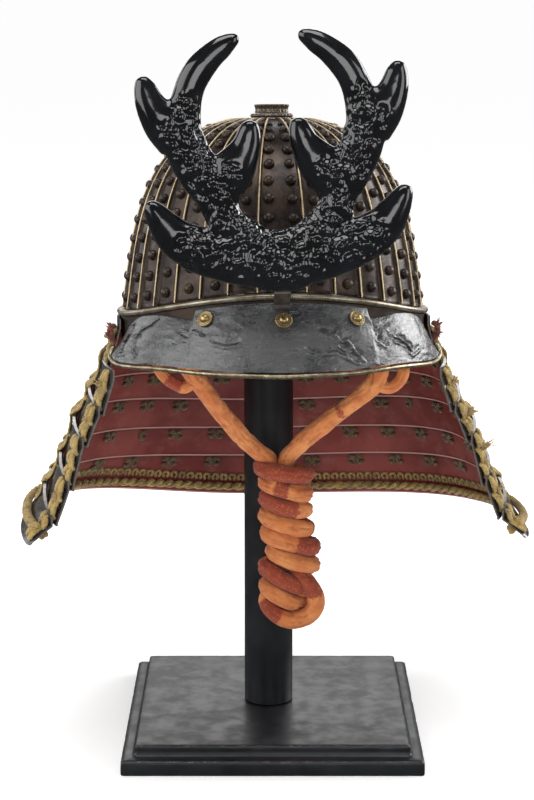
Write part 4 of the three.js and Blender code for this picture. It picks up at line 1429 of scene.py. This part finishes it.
# A braid's way outside: (mm above the edge of the lame above, mm out from the lame), then the same on the
# lame above, from its own lower edge.
BRAID_LOW = [(-9.5, -0.6), (-8.2, 1.0), (-3, 1.35), (3.5, 1.3), (LAME_OVERLAP, 1.25)]
BRAID_HIGH = [(LAME_OVERLAP + 3.5, 2.6), (LAME_OVERLAP + 8, 1.3), (LAME_OVERLAP + 12.5, 1.1),
              (LAME_OVERLAP + 14, -0.6)]


def outer_braids():
    """Outside, pairs of braids rise from each lame, over its top edge, into the lame above."""
    shape = Shape()
    rng = random.Random(33)
    for index in range(1, len(LAMES)):
        upper = index - 1
        for share in column_shares(index):
            height = float(lame_height(index, share))
            normal = lame_normal(index, share, height)
            for side in (-1, 1):
                beside = side * (BRAID_WIDE + 0.6)
                own = sideways(index, share, beside, height)
                near = sideways(upper, share, beside, 10)
                line = [lame_point(index, own, height + up, LAME_WALL + out) for up, out in BRAID_LOW]
                line += [lame_point(upper, near, up, LAME_WALL + out) for up, out in BRAID_HIGH]
                braid(shape, np.array(line) + [rng.uniform(-0.25, 0.25) for _ in range(3)], normal, sides=8)
    shape.build("lacing_outside", [OCHRE])


def crosses():
    """Two crossed braids at each column on the lowest lame, above the hem."""
    shape = Shape()
    index = len(LAMES) - 1
    for share in column_shares(index):
        for lean in (-1, 1):
            line, lift = [], 1.2 + (1.6 if lean > 0 else 0.0)
            for part in np.linspace(0, 1, 7):
                up = 14.5 + 9.5 * part
                beside = lean * (part - 0.5) * 12
                hump = lift * math.sin(math.pi * part) ** 0.6 - 0.5
                line.append(lame_point(index, sideways(index, share, beside, up), up, LAME_WALL + hump))
            braid(shape, line, lame_normal(index, share, 18), 2.6, 1.0, 8)
    shape.build("lacing_crosses", [OCHRE])


FRONT_COLUMNS = (5.5, 14.5)      # mm of each column of chunky braid from the front edge
STITCH_LONG = 11.5


def front_stitches(shape, index, share, outmost, rng):
    """One column of chunky braid down a lame, as a chain of stitches."""
    height = float(lame_height(index, share))
    normal = lame_normal(index, share, height * 0.5)
    low = 3.0
    high = height + (0.0 if index == 0 else LAME_OVERLAP) - 2.5
    count = max(2, round((high - low) / STITCH_LONG))
    for k in range(count):
        foot = low + (high - low) * k / count
        top = min(low + (high - low) * (k + 1.12) / count, high + 1)
        sway = rng.uniform(-0.5, 0.5)
        slant = rng.uniform(0.8, 1.9) * (1 if outmost else -1)
        line = []
        for part in np.linspace(0, 1, 8):
            up = foot + (top - foot) * part
            beside = sway + slant * (2 * part - 1)
            puff = 3.3 * max(0.0, math.sin(math.pi * part)) ** 0.55 + rng.uniform(-0.15, 0.15)
            line.append(lame_point(index, sideways(index, share, beside, up), up, LAME_WALL - 0.7 + puff))
        braid(shape, line, normal, 4.0, 2.0, 10, 3.1, 0.62)


def front_braids():
    shape = Shape()
    rng = random.Random(41)
    for index in range(len(LAMES)):
        for side in (-1, 1):
            for distance in FRONT_COLUMNS:
                share = side * share_at(index, distance)
                front_stitches(shape, index, share, distance == FRONT_COLUMNS[0], rng)
    shape.build("lacing_front_edges", [OCHRE])


def hem_line(distance, shares):
    """A line round the lowest lame above its lower edge, some mm out from its inner face."""
    index = len(LAMES) - 1
    return np.array([lame_point(index, share, HEM_RISE) + distance * lame_normal(index, share, HEM_RISE)
                     for share in shares])


ROPE_STRANDS = 2
ROPE_PITCH = 17.5
STRAND_RADIUS = 2.0
STRAND_OFFSET = 1.6


def rope(name, distance, replaces):
    """A rope of two braided strands twisted round each other, along the lowest lame."""
    line = resampled(helmet_to_row(hem_line(distance, np.linspace(-0.985, 0.985, 200))), 1.3)
    _, side, up = frames_along(line)
    length = lengths_along(line)
    shape = Shape()
    for k in range(ROPE_STRANDS):
        turn = 2 * math.pi * (length / ROPE_PITCH + k / ROPE_STRANDS)
        strand = line + STRAND_OFFSET * (np.cos(turn)[:, None] * side + np.sin(turn)[:, None] * up)
        tube(shape, strand, STRAND_RADIUS * (1 + 0.20 * np.sin(turn * 2)), sides=12)
    shape.build(name, [OCHRE], replaces)


HEM_STITCH = 7.4          # mm from one small stitch to the next


def hem_loops():
    """A row of small stitches above the rope, inside the lowest lame."""
    shape = Shape()
    index = len(LAMES) - 1
    rng = random.Random(51)
    shares = np.linspace(-0.975, 0.975, 200)
    span = lengths_along(hem_line(-4.3, shares))
    count = int(span[-1] / HEM_STITCH)
    for k in range(count):
        share = float(np.interp(span[-1] * (k + 0.5) / count, span, shares))
        line = []
        for turn in np.linspace(-0.35 * math.pi, 1.35 * math.pi, 9):
            up = 15.0 + 2.6 * math.sin(turn) + rng.uniform(-0.1, 0.1)
            beside = -2.4 * math.cos(turn)
            line.append(lame_point(index, sideways(index, share, beside, up), up, -1.0))
        normal = helmet_direction(lame_normal(index, share, 14))
        tube(shape, helmet_to_row(curve_through(line, 1.1)), 1.25, 1.15, 8, normals=normal)
    shape.build("hem_stitches_inside", [OCHRE])


FIBRE_RADIUS = 0.22


def tuft(shape, at, direction, length, spread, count, rng):
    """A frayed end: fine fibres that fan out from a point."""
    for _ in range(count):
        lean = unit([rng.gauss(0, 1) for _ in range(3)])
        out = unit(direction + spread * lean)
        reach = length * rng.uniform(0.55, 1.1)
        droop = np.array([0, 0, -1.0]) * reach * rng.uniform(0.0, 0.25)
        start = at + lean * rng.uniform(0, 0.9)
        bend = unit([rng.gauss(0, 1) for _ in range(3)]) * reach * 0.12
        line = [start, start + out * reach * 0.4 + bend,
                start + out * reach * 0.75 + droop * 0.4 + bend * 0.5, start + out * reach + droop]
        tube(shape, curve_through(line, 1.6), FIBRE_RADIUS, sides=4)


# Frayed ends: (lame, side, mm from its front edge, length).
FRAYED = [(0, -1, 6.0, 6), (1, -1, 6.0, 9), (1, 1, 6.0, 9), (2, 1, 7.0, 12), (3, 1, 7.0, 13), (4, 1, 6.0, 8),
          (2, -1, 6.0, 5), (4, -1, 6.0, 5)]


def tufts():
    rng = random.Random(61)
    shape = Shape()
    for index, side, back, length in FRAYED:
        share = side * share_at(index, back)
        height = float(lame_height(index, share))
        normal = helmet_direction(lame_normal(index, share, height * 0.5))
        at = helmet_to_row(lame_point(index, share, height * 0.75, LAME_WALL + 3.0))
        tuft(shape, at, normal + (0, -0.3, 0.9), length, 0.5, 34, rng)
        tuft(shape, at - (0, 0, 5.0), normal + (0, -0.2, -0.3), length * 0.5, 0.8, 16, rng)
    shape.build("lacing_frayed_ends", [OCHRE_FIBRES])
    shape = Shape()
    for side in (-1, 1):
        share = side * share_at(0, 5.0)
        height = float(lame_height(0, share))
        at = helmet_to_row(lame_point(0, share, height - 3, LAME_WALL + 2.0))
        normal = helmet_direction(lame_normal(0, share, height * 0.5))
        line = [at + (0, 3, 4.0), at + normal * 2.6 + (0, -1, 2.0), at + normal * 2.0 + (0, -3, -4.0),
                at + (0, -2, -8.0)]
        tube(shape, curve_through(line, 1.2), 2.6, 2.2, sides=10)
        tuft(shape, at + normal * 2.5 + (0, -3, -2), normal * 0.4 + (0, -1.0, 0.2), 6, 0.8, 40, rng)
        tuft(shape, at + normal * 2.5 + (0, 0, 3), normal * 0.5 + (0, -0.5, 0.9), 5, 0.8, 30, rng)
    shape.build("top_lacing_knots", [RED_FIBRES])


inner_knots()
outer_braids()
crosses()
front_braids()
rope("hem_rope_inner", -HEM_RADIUS - 0.9, ["hem_cord_inner"])
rope("hem_rope_outer", LAME_WALL + HEM_RADIUS + 0.4, ["hem_cord_outer"])
hem_loops()
tufts()


# ---------------------------------------------------------------- stand
EDGE = STAND_WIDTH / 2
STEP = EDGE - STAND_STEP
CORNER = 2.4                 # radius of the base's upright corners
# The base's side: (half-width, height, wear) from the floor to the top.
BASE_PROFILE = [(EDGE - 1.2, 0.0, 0.2), (EDGE - 0.3, 0.4, 0.6), (EDGE, 1.4, 0.8), (EDGE, 5.5, 0.0),
                (EDGE, 9.4, 0.6), (EDGE - 0.35, 10.7, 1.0), (EDGE - 1.5, 11.6, 1.0), (EDGE - 4.5, 12.0, 0.2),
                (STEP + 2.4, 12.3, 0.0), (STEP + 0.9, 12.9, 0.1), (STEP, 14.4, 0.1), (STEP, 17.2, 0.2),
                (STEP, 18.8, 0.8), (STEP - 0.45, 19.9, 1.0), (STEP - 1.4, STAND_HEIGHT, 1.0),
                (STEP - 4.0, STAND_HEIGHT, 0.2)]


def square_ring(half, z):
    """A square with rounded corners."""
    ring = []
    flat = half - CORNER
    for turn in np.arange(4) * math.pi / 2:
        ahead = np.array([math.cos(turn), math.sin(turn)])
        beside = np.array([-math.sin(turn), math.cos(turn)])
        ring += [ahead * half + beside * part * flat for part in np.linspace(-1, 1, 61)[:-1]]
        for bend in np.linspace(0, math.pi / 2, 6)[:-1]:
            ring.append(ahead * (flat + CORNER * math.cos(bend)) + beside * (flat + CORNER * math.sin(bend)))
    return [(x, y, z) for x, y in ring]


def stand_base():
    points = np.array([square_ring(half, z) for half, z, _ in BASE_PROFILE])
    rows, size = points.shape[:2]
    wear = np.repeat([[w] for _, _, w in BASE_PROFILE], size, axis=1)
    nicks = np.array([[noise.noise(Vector(p) * 0.16) for p in ring] for ring in points])
    outward = points[..., :2] / np.linalg.norm(points[..., :2], axis=-1, keepdims=True)
    points[..., :2] -= outward * (wear * np.maximum(0, nicks - 0.22) * 2.0)[..., None]
    shape = Shape()
    shape.add(points, tube_faces(rows, size), edge=wear.ravel())
    shape.build("stand_base_painted", [PAINT], ["stand_base"], sharp=40)


POST_SHORT = 14.0            # the painted post ends this far under the plain one's top, inside the bowl


def stand_post():
    low, high = (v.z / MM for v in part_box("stand_post"))
    top = high - POST_SHORT
    profile = [(POST_RADIUS - 0.8, low), (POST_RADIUS, low + 0.8)]
    profile += [(POST_RADIUS, z) for z in np.linspace(low + 6, top - 4, 12)]
    profile += [(POST_RADIUS, top - 2), (POST_RADIUS - 1.2, top - 0.4), (0.5, top)]
    shape = Shape()
    lathe(shape, profile, (POST_X, 0, 0), (0, 0, 1), 96, edge=0.0)
    shape.build("stand_post_painted", [PAINT], ["stand_post"], sharp=40)


stand_base()
stand_post()


# ---------------------------------------------------------------- floor and light
GLOW_FROM_TO = (0.05, 1.1)       # m from the object's middle
GLOW_STRENGTH = (0.34, 0.9)
FLOOR_RINGS = [0.3, 0.8, 1.5, 3.0, 8.0, 60.0]      # radii in m


def stage():
    """A wide pale floor. It glows away from the object, like a lit backdrop, so it is white to its edge."""
    n = Nodes("floor_white")
    away = n.tree.nodes.new("ShaderNodeVectorMath")
    away.operation = "LENGTH"
    n.link(n.coordinates.outputs["Object"], away.inputs[0])
    glow = n.spread(away.outputs["Value"], *GLOW_FROM_TO, *GLOW_STRENGTH)
    n.shader.inputs["Emission Color"].default_value = (1, 1, 1, 1)
    n.link(glow, n.shader.inputs["Emission Strength"])
    n.finish(n.mix(n.noise(3), (0.80, 0.80, 0.80), (0.82, 0.82, 0.82)), 0.7)
    turn = np.linspace(0, 2 * math.pi, 64, endpoint=False)
    points = [(r * math.cos(t), r * math.sin(t), 0.0) for r in FLOOR_RINGS for t in turn]
    faces = [*grid_faces(len(FLOOR_RINGS), len(turn), wrap=True), tuple(range(len(turn)))]
    mesh = bpy.data.meshes.new("floor")
    mesh.from_pydata(points, [], faces)
    mesh.materials.append(n.material)
    floor = bpy.data.objects.new("floor", mesh)
    floor.visible_glossy = False
    bpy.context.scene.collection.objects.link(floor)


def soft_box(name, at, towards, size, glow):
    """A rectangular light whose face has the given brightness, where 1 is the floor's white."""
    data = bpy.data.lights.new(name, "AREA")
    data.shape = "RECTANGLE"
    data.size, data.size_y = size
    data.energy = glow * math.pi * size[0] * size[1]
    lamp = bpy.data.objects.new(name, data)
    lamp.location = at
    lamp.rotation_euler = (Vector(towards) - Vector(at)).to_track_quat("-Z", "Y").to_euler()
    bpy.context.scene.collection.objects.link(lamp)


SURROUND_LIGHT = 0.10        # how strongly the white surround lights the object
LIT_AT = (0, 0, 0.33)
# (name, place in m, size in m, glow), all turned to the middle of the object.
SOFT_BOXES = [
    ("key_left", (-1.6, -0.75, 1.04), (2.0, 1.5), 2.5), ("back_left", (-1.55, 1.0, 0.8), (1.2, 1.1), 1.5),
    ("back_right", (1.72, 0.8, 0.95), (1.7, 1.1), 5.6), ("fill_right", (1.6, -1.1, 0.9), (0.7, 1.2), 2.4),
    ("top", (0, -0.35, 1.9), (1.3, 1.0), 4.0), ("front", (0.3, -2.4, 0.85), (1.2, 0.8), 3.0),
    ("back", (0, 1.9, 1.1), (1.6, 1.0), 2.2),
]


def lights():
    """A white surround that lights the object only a little, and soft boxes that do the rest."""
    world = bpy.data.worlds.new("studio")
    bpy.context.scene.world = world
    world.use_nodes = True
    tree = world.node_tree
    seen = tree.nodes.new("ShaderNodeLightPath")
    strength = tree.nodes.new("ShaderNodeMapRange")
    strength.inputs["To Min"].default_value = SURROUND_LIGHT
    strength.inputs["To Max"].default_value = 1.0
    tree.links.new(seen.outputs["Is Camera Ray"], strength.inputs["Value"])
    background = tree.nodes["Background"]
    background.inputs["Color"].default_value = (1, 1, 1, 1)
    tree.links.new(strength.outputs["Result"], background.inputs["Strength"])
    for name, at, size, glow in SOFT_BOXES:
        soft_box(name, at, LIT_AT, size, glow)
    bpy.context.scene.view_settings.view_transform = "Standard"


stage()
lights()
